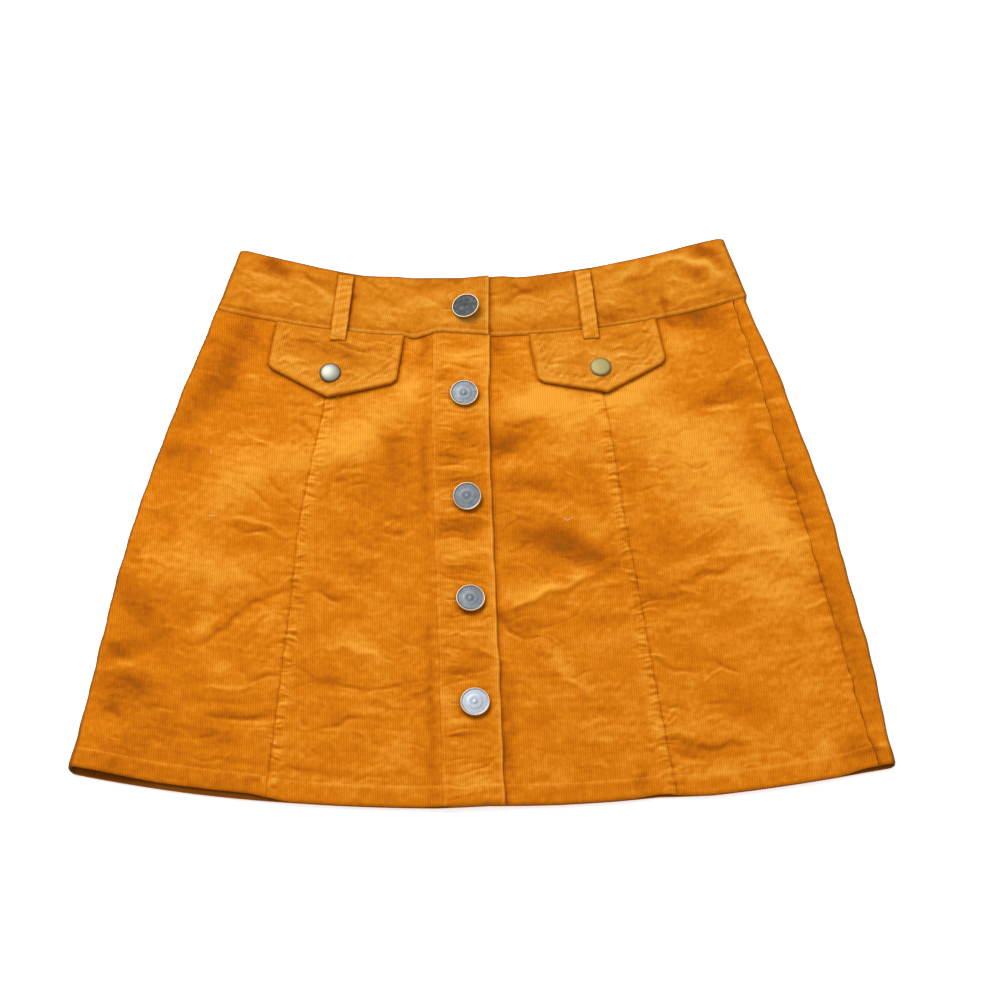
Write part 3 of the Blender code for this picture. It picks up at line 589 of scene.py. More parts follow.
def section_value(column, height):
    """A column of SECTIONS at one height, on a smooth curve through its rows."""
    values = [(row.height, getattr(row, column)) for row in SECTIONS]
    last = len(values) - 2
    i = 0
    while i < last and height > values[i + 1][0]:
        i += 1

    def slope(k):
        below = values[max(k - 1, 0)]
        above = values[min(k + 1, len(values) - 1)]
        return (above[1] - below[1]) / (above[0] - below[0])

    (h0, v0), (h1, v1) = values[i], values[i + 1]
    span = h1 - h0
    t = (height - h0) / span
    rest = 1.0 - t
    return (v0 * (1.0 + 2.0 * t) * rest * rest + v1 * t * t * (3.0 - 2.0 * t)
            + span * t * rest * (slope(i) * rest - slope(i + 1) * t))


def wave(place, length, wander):
    """Uneven puckers along a line, from -1 to 1."""
    return 0.62 * np.sin(2.0 * pi * (place / length + wander * np.sin(place / (5.3 * length)))) \
        + 0.38 * np.sin(2.0 * pi * (place / (1.71 * length) + 0.3 + 0.6 * wander
                                    * np.sin(place / (3.1 * length))))


CURVE_HEIGHTS = np.arange(0.0, 405.0, 0.5)
CURVES = {w.column: np.array([section_value(w.column, h) for h in CURVE_HEIGHTS])
          + w.size * wave(CURVE_HEIGHTS, w.length, w.wander) for w in WOBBLES}


def section(column, height):
    """A column of SECTIONS at any heights."""
    return np.interp(height, CURVE_HEIGHTS, CURVES[column])


def smoothstep(start, end, value):
    """Ease from 0 at start to 1 at end."""
    t = np.clip((value - start) / (end - start), 0.0, 1.0)
    return t * t * (3.0 - 2.0 * t)


def bump(distance, width):
    """Soft bell of height 1."""
    return np.exp(-(distance / width) ** 2)


def bells(table, distance):
    """Sum of a table's soft bells at a distance."""
    return sum(bell.strength * bump(distance - bell.at, bell.width) for bell in table)


def along_table(table, place):
    """Value of a table of (place, value) pairs at any places."""
    return np.interp(place, [row[0] for row in table], [row[1] for row in table])


def plan_x(x, height):
    """X of a point in plan: the sides stand a little out or in."""
    near = smoothstep(0.72, 1.0, np.abs(x) / section("half_width", height))
    out = np.where(x < 0.0, -along_table(LEFT_OUT, height), along_table(RIGHT_OUT, height))
    return x + near * out


def plan_y(x, height):
    """Y of a point of a row: rows dip at the middle and rise to the sides."""
    t = x / section("half_width", height)
    tilt = TILT_AT_HEM + TILT_PER_HEIGHT * height
    shift = along_table(HEM_SHIFT, x) * np.exp(-height / HEM_SHIFT_REACH) \
        + along_table(BAND_SHIFT, x) * smoothstep(BAND_SHIFT_START, BAND_SHIFT_END, height)
    return height + SIDE_RISE * np.abs(t) ** SIDE_RISE_POWER + 0.5 * tilt * t + shift


# Rounds of the search for the row through a point
ROUNDS = 12


def height_at(x, y):
    """Height of the row that passes through a point of the plan."""
    height = np.array(y, dtype=float)
    for _ in range(ROUNDS):
        height = height + y - plan_y(x, height)
    return height


def path_distance(path, x, height):
    """Distance from a path, and the share of its length at the nearest point."""
    lengths = [hypot(x1 - x0, h1 - h0) for (x0, h0), (x1, h1) in zip(path, path[1:])]
    total = sum(lengths)
    best = np.full(x.shape, 1.0e9)
    share = np.zeros(x.shape)
    done = 0.0
    for ((x0, h0), (x1, h1)), length in zip(zip(path, path[1:]), lengths):
        along = ((x - x0) * (x1 - x0) + (height - h0) * (h1 - h0)) / length ** 2
        along = np.clip(along, 0.0, 1.0)
        away = np.hypot(x - x0 - along * (x1 - x0), height - h0 - along * (h1 - h0))
        nearer = away < best
        best = np.where(nearer, away, best)
        share = np.where(nearer, (done + along * length) / total, share)
        done += length
    return best, share


# Waves of an uneven field: most of their crests run across the garment
FieldWave = namedtuple("FieldWave", "across up phase")


def wave_field(seed, count, shortest, longest, spread):
    """Seeded waves, with lengths in a range and crests turned by about the spread."""
    draw = np.random.default_rng(seed)
    lengths = draw.uniform(shortest, longest, count)
    turns = draw.normal(0.0, spread, count)
    phases = draw.uniform(0.0, 2.0 * pi, count)
    return [FieldWave(2.0 * pi * sin(turn) / length, 2.0 * pi * cos(turn) / length, phase)
            for length, turn, phase in zip(lengths, turns, phases)]


def field_value(field, x, height):
    """Value of a field, mostly between -2 and 2."""
    total = sum(np.cos(w.across * x + w.up * height + w.phase) for w in field)
    return total * sqrt(2.0 / len(field))


STRAY_X = wave_field(11, 12, 14.0, 40.0, 1.2)
STRAY_HEIGHT = wave_field(12, 12, 14.0, 40.0, 1.2)


# Half widths after which a bell is left out, and the strength of a crease at its ends
BELL_REACH = 2.6
CREASE_END = 0.35


def path_sum(paths, x, height, value, stray):
    """Sum of soft bells along paths, each as strong as value(path) says, thin at its ends.

    The cloth strays a little, so that no crease is as smooth as its path.
    """
    x, height = np.broadcast_arrays(np.asarray(x, dtype=float), np.asarray(height, dtype=float))
    shape = x.shape
    x, height = (x + stray * field_value(STRAY_X, x, height),
                 height + stray * field_value(STRAY_HEIGHT, x, height))
    x, height = x.ravel(), height.ravel()
    total = np.zeros(x.shape)
    order = np.argsort(height)
    in_order = height[order]
    for item in paths:
        margin = BELL_REACH * item.width
        xs = [p[0] for p in item.path]
        hs = [p[1] for p in item.path]
        start, stop = np.searchsorted(in_order, (min(hs) - margin, max(hs) + margin))
        near = order[start:stop]
        near = near[(x[near] > min(xs) - margin) & (x[near] < max(xs) + margin)]
        if not near.size:
            continue
        away, share = path_distance(item.path, x[near], height[near])
        taper = CREASE_END + (1.0 - CREASE_END) * np.sin(pi * share)
        total[near] += value(item) * taper * bump(away, item.width)
    return total.reshape(shape)


def crease_rise(paths, x, height, stray=STRAY):
    """How far creases lift the cloth."""
    return path_sum(paths, x, height, lambda crease: crease.rise, stray)


def crease_shading(paths, x, height, stray=STRAY):
    """Painted light and shade at creases: how much lighter or darker the cloth is there."""
    return path_sum(paths, x, height, lambda crease: crease.tone, stray)


def short_crease(draw, x, height, length, turn, widths, rises):
    """One small bent crease: troughs are a little more common than ridges."""
    turn = draw.normal(0.0, turn)
    bend = draw.normal(0.0, 0.07) * length
    dx, dh = 0.5 * length * cos(turn), 0.5 * length * sin(turn)
    rise = draw.uniform(*rises) * either_way(draw, 0.42)
    path = [(x - dx, height - dh), (x - sin(turn) * bend, height + cos(turn) * bend),
            (x + dx, height + dh)]
    return Crease(path, draw.uniform(*widths), rise, TONE_OF_RISE * rise)


def either_way(draw, share):
    """1 for that share of the draws, and -1 for the others."""
    return 1.0 if draw.random() < share else -1.0


def strewn(seed, count, make):
    """So many creases, each made by make(draw)."""
    draw = np.random.default_rng(seed)
    return [make(draw) for _ in range(count)]


def marched(seed, start, end, steps, make):
    """Creases made by make(draw, place), at uneven steps from start to end."""
    draw = np.random.default_rng(seed)
    found = []
    place = start
    while place < end:
        found.append(make(draw, place))
        place += draw.uniform(*steps)
    return found


def scattered_creases(seed, count, edge, bottom, top, lengths, widths, rises):
    """Small creases strewn over a stretch, out to a share of the half width."""
    def crease(draw):
        height = draw.uniform(bottom, top)
        x = draw.uniform(-edge, edge) * float(section("half_width", height))
        return short_crease(draw, x, height, draw.uniform(*lengths), 0.34, widths, rises)
    return strewn(seed, count, crease)


def seam_puckers(seed, column, inward):
    """Short puckers that a seam's stitching draws in, uneven in length and spacing."""
    def pucker(draw, height):
        inside = draw.uniform(0.65, 1.0) * PUCKER_REACH
        outside = draw.uniform(2.0, PUCKER_SPILL) if draw.random() < 0.3 else 0.0
        x = float(section(column, height)) + 0.5 * inward * (inside - outside)
        return short_crease(draw, x, height, inside + outside, 0.14, (0.7, 1.3), (0.18, 0.42))
    return marched(seed, 6.0, WAIST_SEAM - 12.0, (1.9, 4.2), pucker)


def side_puckers(seed):
    """Puckers on both sides of the side seam that shows on the right."""
    def pucker(draw, height):
        x = float(section("half_width", height) - section("side_inset", height))
        length = draw.uniform(8.0, 26.0)
        x += draw.uniform(-0.35, 0.35) * length
        return short_crease(draw, x, height, length, 0.16, (1.2, 2.6), (0.15, 0.42))
    return marched(seed, 8.0, WAIST_SEAM - 8.0, (4.0, 13.0), pucker)


def hem_puckers(seed):
    """Upright puckers of the turned hem."""
    def pucker(draw, x):
        length = draw.uniform(5.0, 11.0)
        height = draw.uniform(5.0, 12.0)
        lean = draw.normal(0.0, 2.0)
        rise = draw.uniform(0.08, 0.26) * either_way(draw, 0.4)
        path = [(x, height - 0.5 * length), (x + lean, height + 0.5 * length)]
        # Painted light on the pucker's ridge and painted shade in its trough, as strong as its rise
        return Crease(path, draw.uniform(1.4, 4.0), rise, 0.9 * rise)
    return marched(seed, -262.0, 262.0, (5.0, 15.0), pucker)


def placket_puckers(seed):
    """Short puckers right across the placket, most of them from its stitched left edge."""
    def pucker(draw, height):
        left = float(section("button_line", height)) - PLACKET_LEFT
        kind = draw.random()
        length = draw.uniform(20.0, 38.0) if kind < 0.3 else draw.uniform(6.0, 17.0)
        spare = PLACKET_LEFT + PLACKET_RIGHT - 5.0 - length
        start = 2.5 + spare * (draw.uniform(0.0, 0.2) if kind < 0.7 else draw.uniform(0.6, 1.0))
        x = left + start + 0.5 * length
        return short_crease(draw, x, height, length, 0.12, (0.8, 1.6), (0.14, 0.36))
    return marched(seed, 4.0, WAIST_SEAM, (1.8, 6.0), pucker)


def band_puckers(seed):
    """Small creases of the waistband's front."""
    def pucker(draw):
        x = draw.uniform(-182.0, 182.0)
        height = draw.uniform(WAIST_SEAM + 5.0, BAND_TOP - 4.0)
        return short_crease(draw, x, height, draw.uniform(6.0, 26.0), 0.3, (1.1, 2.8), (0.1, 0.32))
    return strewn(seed, 84, pucker)


# How far inwards and outwards the puckers of a princess seam reach
PUCKER_REACH = 8.4
PUCKER_SPILL = 12.0

DETAIL_CREASES = (
    seam_puckers(21, "seam_left", 1.0) + seam_puckers(22, "seam_right", -1.0)
    + scattered_creases(23, 280, 0.97, 4.0, 346.0, (6.0, 30.0), (0.9, 2.3), (0.08, 0.27))
    + side_puckers(24) + hem_puckers(25))
PLACKET_FOLDS = PLACKET_CREASES + placket_puckers(26)
BAND_FOLDS = BAND_CREASES + band_puckers(27)

# Pressed creases of the back, wide and fine, given only as painted light and shade: the back still lies
# flat
BACK_SHADES = (
    scattered_creases(28, 46, 0.95, 8.0, 348.0, (30.0, 90.0), (5.0, 16.0), (0.3, 0.9))
    + scattered_creases(29, 170, 0.97, 4.0, 350.0, (8.0, 34.0), (1.2, 3.4), (0.3, 0.8)))

# Low waves and thin lines of the washed cloth, and the patches where each is strong
FINE_FIELD = wave_field(31, 20, 5.5, 16.0, 0.65)
FINE_PATCHES = wave_field(32, 10, 40.0, 110.0, 1.5)
LINE_FIELD = wave_field(33, 14, 20.0, 48.0, 0.45)
LINE_PATCHES = wave_field(34, 10, 30.0, 90.0, 1.5)


def crumple(x, height):
    """Low uneven waves of washed cloth, and thin wandering troughs here and there."""
    waves = 0.055 * field_value(FINE_FIELD, x, height)
    waves = waves * (0.45 + 0.55 * smoothstep(-0.8, 1.0, field_value(FINE_PATCHES, x, height)))
    lines = bump(field_value(LINE_FIELD, x, height), 0.3)
    return waves - 0.12 * lines * smoothstep(0.2, 1.4, field_value(LINE_PATCHES, x, height))


def fold_relief(x, height):
    """Sum of the soft ridges and troughs at points of the front."""
    total = np.zeros(np.broadcast(x, height).shape)
    for fold in FOLDS:
        away, _ = path_distance([(fold.x0, fold.h0), (fold.x1, fold.h1)],
                                *np.broadcast_arrays(x, height))
        total = total + fold.rise * bump(away, fold.width)
    return total + crease_rise(CREASES, x, height)


def corner_lift(x, height):
    """How far the open corners of the hem stand up."""
    half = section("half_width", height)
    left = LEFT_CORNER_LIFT * bump(height, LEFT_CORNER_REACH)
    right = RIGHT_CORNER_LIFT * bump(height, RIGHT_CORNER_REACH)
    return (left * smoothstep(LEFT_CORNER_WIDTH, 0.25 * LEFT_CORNER_WIDTH, x + half)
            + right * smoothstep(RIGHT_CORNER_WIDTH, 0.0, half - x))


def side_top(side, height):
    """Full height of the rolled side fold; side is -1 on the left and 1 on the right."""
    return SIDE_TOP + corner_lift(side * section("half_width", height), height)


def seam_relief(x, height):
    """Ditches and raised seam allowances of the front's seams and hem, and all small creases."""
    total = crease_rise(DETAIL_CREASES, x, height) + crumple(x, height)
    for column, inward in PRINCESS_SEAMS:
        across = inward * (x - section(column, height))
        allowance = smoothstep(0.2, 2.0, across) * smoothstep(2.2, -1.2, across - PRINCESS_STITCH)
        total = total + PRINCESS_ALLOWANCE * allowance + bells(PRINCESS_RELIEF, across)
    across = past_side_seam(x, height)
    allowance = smoothstep(0.5, 2.5, across) * bump(across - 4.0, 6.0)
    total = total + SIDE_ALLOWANCE * allowance + bells(SIDE_SEAM_RELIEF, across)
    allowance = smoothstep(HEM_TURN + 1.8, HEM_TURN - 0.8, height)
    total = total + HEM_ALLOWANCE * allowance + bells(HEM_RELIEF, height)
    return total + HEM_PUCKER * wave(x, HEM_PUCKER_LENGTH, 0.4) * bump(height - HEM_TURN, 5.0)


def past_side_seam(x, height):
    """Distance to the right of the side seam that shows on the front."""
    return x - section("half_width", height) + section("side_inset", height)


def front_form(x, height, details=False):
    """Height of the front's outer face, with its seams and small creases if details is true."""
    half = section("half_width", height)
    inward = smoothstep(0.0, SIDE_FADE, half - np.abs(x))
    below_waist = smoothstep(0.0, WAIST_FADE, WAIST_SEAM - height)
    relief = (FRONT_BASE - FRONT_AT_WAIST + fold_relief(x, height)) * below_waist
    if details:
        relief = relief + seam_relief(x, height) * smoothstep(0.0, 6.0, WAIST_SEAM - height)
    flat = SIDE_TOP + (FRONT_AT_WAIST - SIDE_TOP + relief) * inward
    return flat + corner_lift(x, height)


def front_top(x, height):
    """Height of the front's outer face with the relief of its seams."""
    return front_form(x, height, details=True)


def centre_left_top(x, height):
    """The left centre panel rises to meet the placket that is sewn to it."""
    edge = section("button_line", height) - PLACKET_LEFT
    ramp = PLACKET_RAMP_RISE * smoothstep(edge - PLACKET_RAMP_WIDTH, edge, x)
    return front_top(x, height) + ramp


def button_height(button):
    """Height of the row that a button sits on."""
    return float(height_at(section("button_line", button.y), button.y))


def buttonhole_relief(x, height):
    """Raised thread round each buttonhole and the slit in its middle."""
    total = 0.0
    for button in BUTTONS:
        at = button_height(button)
        along = np.abs(x - section("button_line", at) + HOLE_SHIFT) - 0.5 * HOLE_LENGTH
        total = total + smoothstep(1.0, -0.5, along) * bells(HOLE_RELIEF, height - at)
    return total


def inside_placket(x, height):
    """Distances inside the placket's left and right edges."""
    across = x - section("button_line", height)
    return across + PLACKET_LEFT, PLACKET_RIGHT - across


def placket_relief(x, height):
    """Puckers across the placket, and its stitched edges."""
    left, right = inside_placket(x, height)
    folds = 0.85 * crease_rise(PLACKET_FOLDS, x, height, PLACKET_STRAY) + buttonhole_relief(x, height)
    folds = folds * smoothstep(-0.5, 4.0, right) * smoothstep(-1.0, 2.0, left)
    return folds + bells(PLACKET_LEFT_RELIEF, left) + bells(PLACKET_RIGHT_RELIEF, right)


def placket_top(x, height):
    """The placket lies on the edge of the right centre panel."""
    return front_top(x, height) + LAYER_GAP + PLACKET_CLOTH + placket_relief(x, height)


def band_foot(x):
    """Height of the waistband's lower edge."""
    return 0.5 * (along_table(BAND_FOOT, x - 1.6) + along_table(BAND_FOOT, x + 1.6))


def band_height(x, height):
    """Height of a point of the waistband: its lower edge steps up over the placket."""
    share = (height - WAIST_SEAM) / (BAND_TOP - WAIST_SEAM)
    foot = band_foot(x)
    return foot + share * (BAND_TOP - foot)


def band_lift(x):
    """The buttoned end of the waistband rides up over its other end."""
    start = section("button_line", WAIST_SEAM) - BAND_UNDERLAP - 2.0 - BAND_RAMP_WIDTH
    return (LAYER_GAP + BAND_CLOTH) * smoothstep(start, start + BAND_RAMP_WIDTH, x)


def band_relief(x, height):
    """Creases of the waistband, its stitched lower edge and its pressed upper edge."""
    above = height - band_foot(x)
    ripples = 0.12 * wave(x, 7.0, 0.5) * bump(above - 2.5, 3.5)
    edge = 0.12 * smoothstep(3.6, 2.4, above) + bells(BAND_FOOT_RELIEF, above)
    pressed = 0.45 * smoothstep(9.0, 0.0, above)
    folds = crease_rise(BAND_FOLDS, x, height) + crumple(x, height) + buttonhole_relief(x, height)
    folds = folds * smoothstep(2.0, 6.0, above) * smoothstep(0.0, 4.0, BAND_TOP - height)
    return folds + ripples + edge - pressed


def band_top(x, height):
    """Height of the front waistband's outer face."""
    inward = smoothstep(0.0, SIDE_FADE, section("half_width", height) - np.abs(x))
    return BAND_SIDE_TOP + (BAND_FRONT - BAND_SIDE_TOP) * inward + band_relief(x, height)


def band_side_top(side, height):
    """Full height of the waistband's side folds."""
    return np.full(np.shape(height), BAND_SIDE_TOP)


def band_corner(height):
    """How far the waistband's rounded upper corners are cut in."""
    into = np.clip(height - BAND_TOP + BAND_CORNER_RADIUS, 0.0, BAND_CORNER_RADIUS)
    return BAND_CORNER_RADIUS - np.sqrt(BAND_CORNER_RADIUS ** 2 - into ** 2)


def front_draw(x, height):
    """How far the front hem is drawn up from the back hem."""
    left = LEFT_HEM_DRAW * smoothstep(-125.0, -160.0, x)
    right = RIGHT_HEM_DRAW * smoothstep(236.0, 258.0, x)
    at_seam = SEAM_HEM_DRAW * bump(x - 120.0, 13.0) * bump(height, 12.0)
    return (left + right) * np.exp(-height / HEM_DRAW_REACH) + at_seam


def fold_arc(side, height, side_height):
    """Length of cloth round a side fold."""
    full = side_height(side, height)
    return pi * np.sqrt(0.5 * ((FOLD_ROUNDNESS * full) ** 2 + (0.5 * full) ** 2))


def fold_start(side, height, side_height, narrow=0.0):
    """X where a side fold begins, signed."""
    return side * (section("half_width", height) - narrow
                   - FOLD_ROUNDNESS * side_height(side, height))


def tube_points(x, height, depth, top, side_height, narrow=0.0):
    """Points of the flattened tube.  x is unrolled: past a side fold it goes on by arc length."""
    side = np.where(x < 0.0, -1.0, 1.0)
    half = section("half_width", height) - narrow
    full = side_height(side, height)
    reach = FOLD_ROUNDNESS * full
    arc = fold_arc(side, height, side_height)
    inside = (half - reach) - np.abs(x)
    angle = np.radians(np.clip(90.0 + 180.0 * inside / arc, -90.0, 90.0))
    fold_x = side * (half - reach + (reach - depth) * np.cos(angle))
    fold_z = 0.5 * full + (0.5 * full - depth) * np.sin(angle)
    back_x = side * (half - reach + inside + arc)
    on_front = inside >= 0.0
    on_back = inside <= -arc
    flat_x = np.where(on_front, x, np.where(on_back, back_x, fold_x))
    z = np.where(on_front, top(x, height) - depth, np.where(on_back, depth, fold_z))
    drawn = front_draw(flat_x, height) * np.where(on_back, 0.0, 0.5 * (1.0 + np.sin(angle)))
    return np.stack([plan_x(flat_x, height), plan_y(flat_x, height) + drawn, z], axis=-1)


# ---------------------------------------------------------------- woven shells


# A row of a shell: height, depth of the face below the garment's outer face, and the turn of
# the cloth round its folded edge, from 0 on the outer face to 180 on the turned-in face.
Row = namedtuple("Row", "height depth turn")
HEM_EDGE = [Row(0.0, 1.0, 90.0), Row(0.32, 0.45, 50.0), Row(1.1, 0.1, 18.0)]
HEM_TURNED = [Row(HEM_TURN, 1.95, 180.0), Row(9.0, 1.95, 180.0), Row(4.0, 1.95, 180.0),
              Row(1.1, 1.85, 162.0), Row(0.32, 1.5, 130.0)]
HEM_ROWS = [Row(h, 0.0, 0.0) for h in (2.6, 5.2, 8.0, 11.0, HEM_TURN)]

# How wales run in a stretch of cloth: the wale number at an unrolled x, and back again
Weave = namedtuple("Weave", "wale_at x_at")

# How much of the inside's painted shade the turned-in hem takes, and the largest angle between faces
# that are still smooth
HEM_INSIDE_SHADE = 0.85
SMOOTH_ANGLE = 62.0

# Wales fade out so far from the join of two stretches, and a distance beyond all edges
JOIN_FADE = 2.0
FAR = 1.0e3


class Shell:
    """Numbered points, their values and faces of one mesh, in millimetres."""

    def __init__(self):
        self.points = []
        self.values = []
        self.faces = []
        self.count = 0

    def add(self, points, wale, tone, inside):
        """Add points and return the number of the first."""
        first = self.count
        points = np.asarray(points, dtype=float).reshape(-1, 3)
        columns = [np.broadcast_to(value, (len(points),)) for value in (wale, tone, inside)]
        self.points.append(points)
        self.values.append(np.stack(columns, axis=-1))
        self.count += len(points)
        return first

    def grid(self, points, wale, tone, inside):
        """Add a grid of points and return the array of their numbers."""
        rows, columns = points.shape[:2]
        first = self.add(points, np.ravel(wale), np.ravel(tone), inside)
        return first + np.arange(rows * columns).reshape(rows, columns)

    def quads(self, numbers):
        """Faces of a grid of point numbers; merged neighbours leave triangles or nothing."""
        a, b = numbers[:-1, :-1].ravel(), numbers[:-1, 1:].ravel()
        c, d = numbers[1:, 1:].ravel(), numbers[1:, :-1].ravel()
        lower, upper = a != b, d != c
        both = lower & upper
        self.faces += np.stack([a, b, c, d], axis=-1)[both].tolist()
        self.faces += np.stack([a, b, c], axis=-1)[lower & ~upper].tolist()
        self.faces += np.stack([a, c, d], axis=-1)[upper & ~lower].tolist()

    def rim(self, fine, fine_place, coarse, coarse_place):
        """Join a finely spaced edge to a coarsely spaced one with a row of polygons."""
        cuts = [0] + [int(np.argmin(np.abs(fine_place - p))) for p in coarse_place[1:-1]]
        cuts.append(len(fine) - 1)
        for k in range(len(coarse) - 1):
            part = fine[cuts[k]:cuts[k + 1] + 1]
            self.faces.append([int(n) for n in part] + [int(coarse[k + 1]), int(coarse[k])])

    def build(self, name, material):
        """Make the object, without unused points, and hand it its material."""
        points = np.concatenate(self.points)
        values = np.concatenate(self.values)
        used = np.zeros(len(points), dtype=bool)
        used[np.concatenate([np.asarray(face) for face in self.faces])] = True
        renumber = np.cumsum(used) - 1
        faces = [[int(renumber[n]) for n in face] for face in self.faces]
        mesh = bpy.data.meshes.new(name)
        mesh.from_pydata(((points[used] - ORIGIN) * MM).tolist(), [], faces)
        for k, label in enumerate(("wale", "tone", "inside")):
            attribute = mesh.attributes.new(label, "FLOAT", "POINT")
            attribute.data.foreach_set("value", values[used][:, k].astype(np.float32))
        return finish_mesh(name, mesh, material)


def finish_mesh(name, mesh, material):
    """Turn faces outwards, smooth the mesh and link its object."""
    shape = bmesh.new()
    shape.from_mesh(mesh)
    bmesh.ops.recalc_face_normals(shape, faces=shape.faces)
    shape.to_mesh(mesh)
    shape.free()
    mesh.shade_smooth()
    mesh.set_sharp_from_angle(angle=radians(SMOOTH_ANGLE))
    mesh.materials.append(material)
    return new_object(name, mesh)


def straight_weave(lean):
    """Wales that lean to the right by so much for each length down the garment."""
    return Weave(lambda x, h: x - lean * (GRAIN_MIDDLE - h),
                 lambda wale, h: wale + lean * (GRAIN_MIDDLE - h))


def rows_between(start, end, step):
    """Rows on the outer face, from start to end."""
    count = max(int(round((end - start) / step)), 1)
    return [Row(start + (end - start) * i / count, 0.0, 0.0) for i in range(1, count + 1)]


def wale_profile(wale):
    """Rounded ridges and narrow grooves, from -1 in a groove to 1 on a ridge."""
    phase = 2.0 * pi * wale / WALE
    return np.cos(phase) + 0.4 * np.sin(phase) ** 2


def woven_part(shell, heights, weave, low, high):
    """Number a grid whose columns follow the wales between low and high, unrolled x."""
    step = WALE / WALE_COLUMNS
    wale_low = weave.wale_at(low, heights)
    wale_high = weave.wale_at(high, heights)
    columns = step * np.arange(floor(wale_low.min() / step) - 1, ceil(wale_high.max() / step) + 2)
    first = np.searchsorted(columns, wale_low, side="right") - 1
    last = np.searchsorted(columns, wale_high, side="left")
    counts = last - first + 1
    starts = shell.count + np.concatenate([[0], np.cumsum(counts)[:-1]])
    row = np.repeat(np.arange(len(heights)), counts)
    column = np.arange(counts.sum()) - np.repeat(starts - shell.count, counts) + first[row]
    wale = np.clip(columns[column], wale_low[row], wale_high[row])
    reach = np.clip(np.arange(len(columns))[None, :], first[:, None], last[:, None])
    numbers = starts[:, None] + reach - first[:, None]
    return numbers, row, wale, weave.x_at(wale, heights[row])


def build_cloth(name, rows, parts, place, material, cloth, inner_from=0):
    """Woven shell of one cloth piece.

    rows are its Rows, parts its (weave, low, high) stretches with low and high unrolled x for
    each row, and place(x, height, depth) gives points and tone.  inner_from is the row
    from which the piece has an inner face of its own, at depth cloth.
    """
    shell = Shell()
    heights = np.array([r.height for r in rows])
    depths = np.array([r.depth for r in rows])
    turns = np.radians([r.turn for r in rows])
    grids = []
    edges = []
    for weave, low, high in parts:
        numbers, row, wale, x = woven_part(shell, heights, weave, low, high)
        ridge = wale_profile(wale)
        from_join = np.full(x.shape, FAR)
        if edges:
            from_join = np.minimum(from_join, x - low[row])
        if len(edges) < len(parts) - 1:
            from_join = np.minimum(from_join, high[row] - x)
        ridge = ridge * smoothstep(0.0, JOIN_FADE, from_join)
        rise = 0.5 * WALE_HEIGHT * ridge
        depth = depths[row] - rise * np.cos(turns[row])
        points, tone = place(x, heights[row], depth)
        points[:, 1] -= rise * np.sin(turns[row])
        # Rows turned in under the hem take the inside's painted shade
        inside = HEM_INSIDE_SHADE * smoothstep(radians(70.0), radians(170.0), turns[row])
        shell.add(points, ridge, tone, inside)
        if edges:
            joined = edges[-1][1]
            own = numbers == numbers[:, :1]
            numbers = np.where(own, joined[:, None], numbers)
        edges.append((numbers[:, 0], numbers[:, -1]))
        grids.append((numbers, x, row))
        shell.quads(numbers)
    starts, ends = edges[0][0], edges[-1][1]
    low, high = parts[0][1], parts[-1][2]

    def fine_edge(i):
        """Point numbers and unrolled x along one row of all the parts."""
        found = []
        for (numbers, x, row), (_, part_low, part_high) in zip(grids, parts):
            line = numbers[i]
            line = line[np.concatenate([[True], line[1:] != line[:-1]])]
            spots = np.concatenate([[part_low[i]], x[row == i][1:-1], [part_high[i]]])
            found.append((line, spots))
        line = np.concatenate([f[0][:-1] for f in found[:-1]] + [found[-1][0]])
        spots = np.concatenate([f[1][:-1] for f in found[:-1]] + [found[-1][1]])
        return line, spots

    steps = max(int(round(float((high - low).max()) / INNER_COLUMN)), 2)
    inner_rows = np.append(np.arange(inner_from, len(rows) - 1, INNER_STEP), len(rows) - 1)
    shares = np.linspace(0.0, 1.0, steps + 1)
    inner_x = low[inner_rows][:, None] + (high - low)[inner_rows][:, None] * shares
    inner_h = np.broadcast_to(heights[inner_rows][:, None], inner_x.shape)
    points, tone = place(inner_x.ravel(), inner_h.ravel(), np.full(inner_x.size, cloth))
    inner = shell.grid(points.reshape(*inner_x.shape, 3), 0.0, tone, 1.0)
    shell.quads(inner[:, ::-1])
    shell.rim(*fine_edge(0), inner[0], inner_x[0])
    shell.rim(*fine_edge(len(rows) - 1), inner[-1], inner_x[-1])
    for outer_edge, inner_edge in ((starts, inner[:, 0]), (ends, inner[:, -1])):
        if inner_from:
            shell.faces.append([int(n) for n in outer_edge[:inner_from + 1]] + [int(inner_edge[0])])
        shell.rim(outer_edge[inner_from:], np.arange(inner_from, len(rows)), inner_edge, inner_rows)
    return shell.build(name, material)


# ---------------------------------------------------------------- tone of the nap, and painted light and shade


# Painted light and shade for each millimetre that the cloth falls in one, its limit, and over what length
# it falls
SHADE_ON_SLOPE = 2.6
MOST_SHADE_ON_SLOPE = 0.9
SLOPE_REACH = 0.7

# The darkest painted shade that creases make by themselves
DEEPEST = -1.05


def slope_shading(relief, x, height):
    """Painted light where the cloth faces the waist, towards the key light, and painted shade where it
    faces the hem.
    """
    fall = relief(x, height - SLOPE_REACH) - relief(x, height + SLOPE_REACH)
    return np.clip(SHADE_ON_SLOPE * fall / (2.0 * SLOPE_REACH), -MOST_SHADE_ON_SLOPE, MOST_SHADE_ON_SLOPE)


def front_relief(x, height):
    """All the relief of the front."""
    return fold_relief(x, height) + seam_relief(x, height)


def beside(shade, distance):
    """Full strength at an edge and inside it, falling away outside."""
    return shade.strength * bump(np.clip(distance, 0.0, None), shade.width)


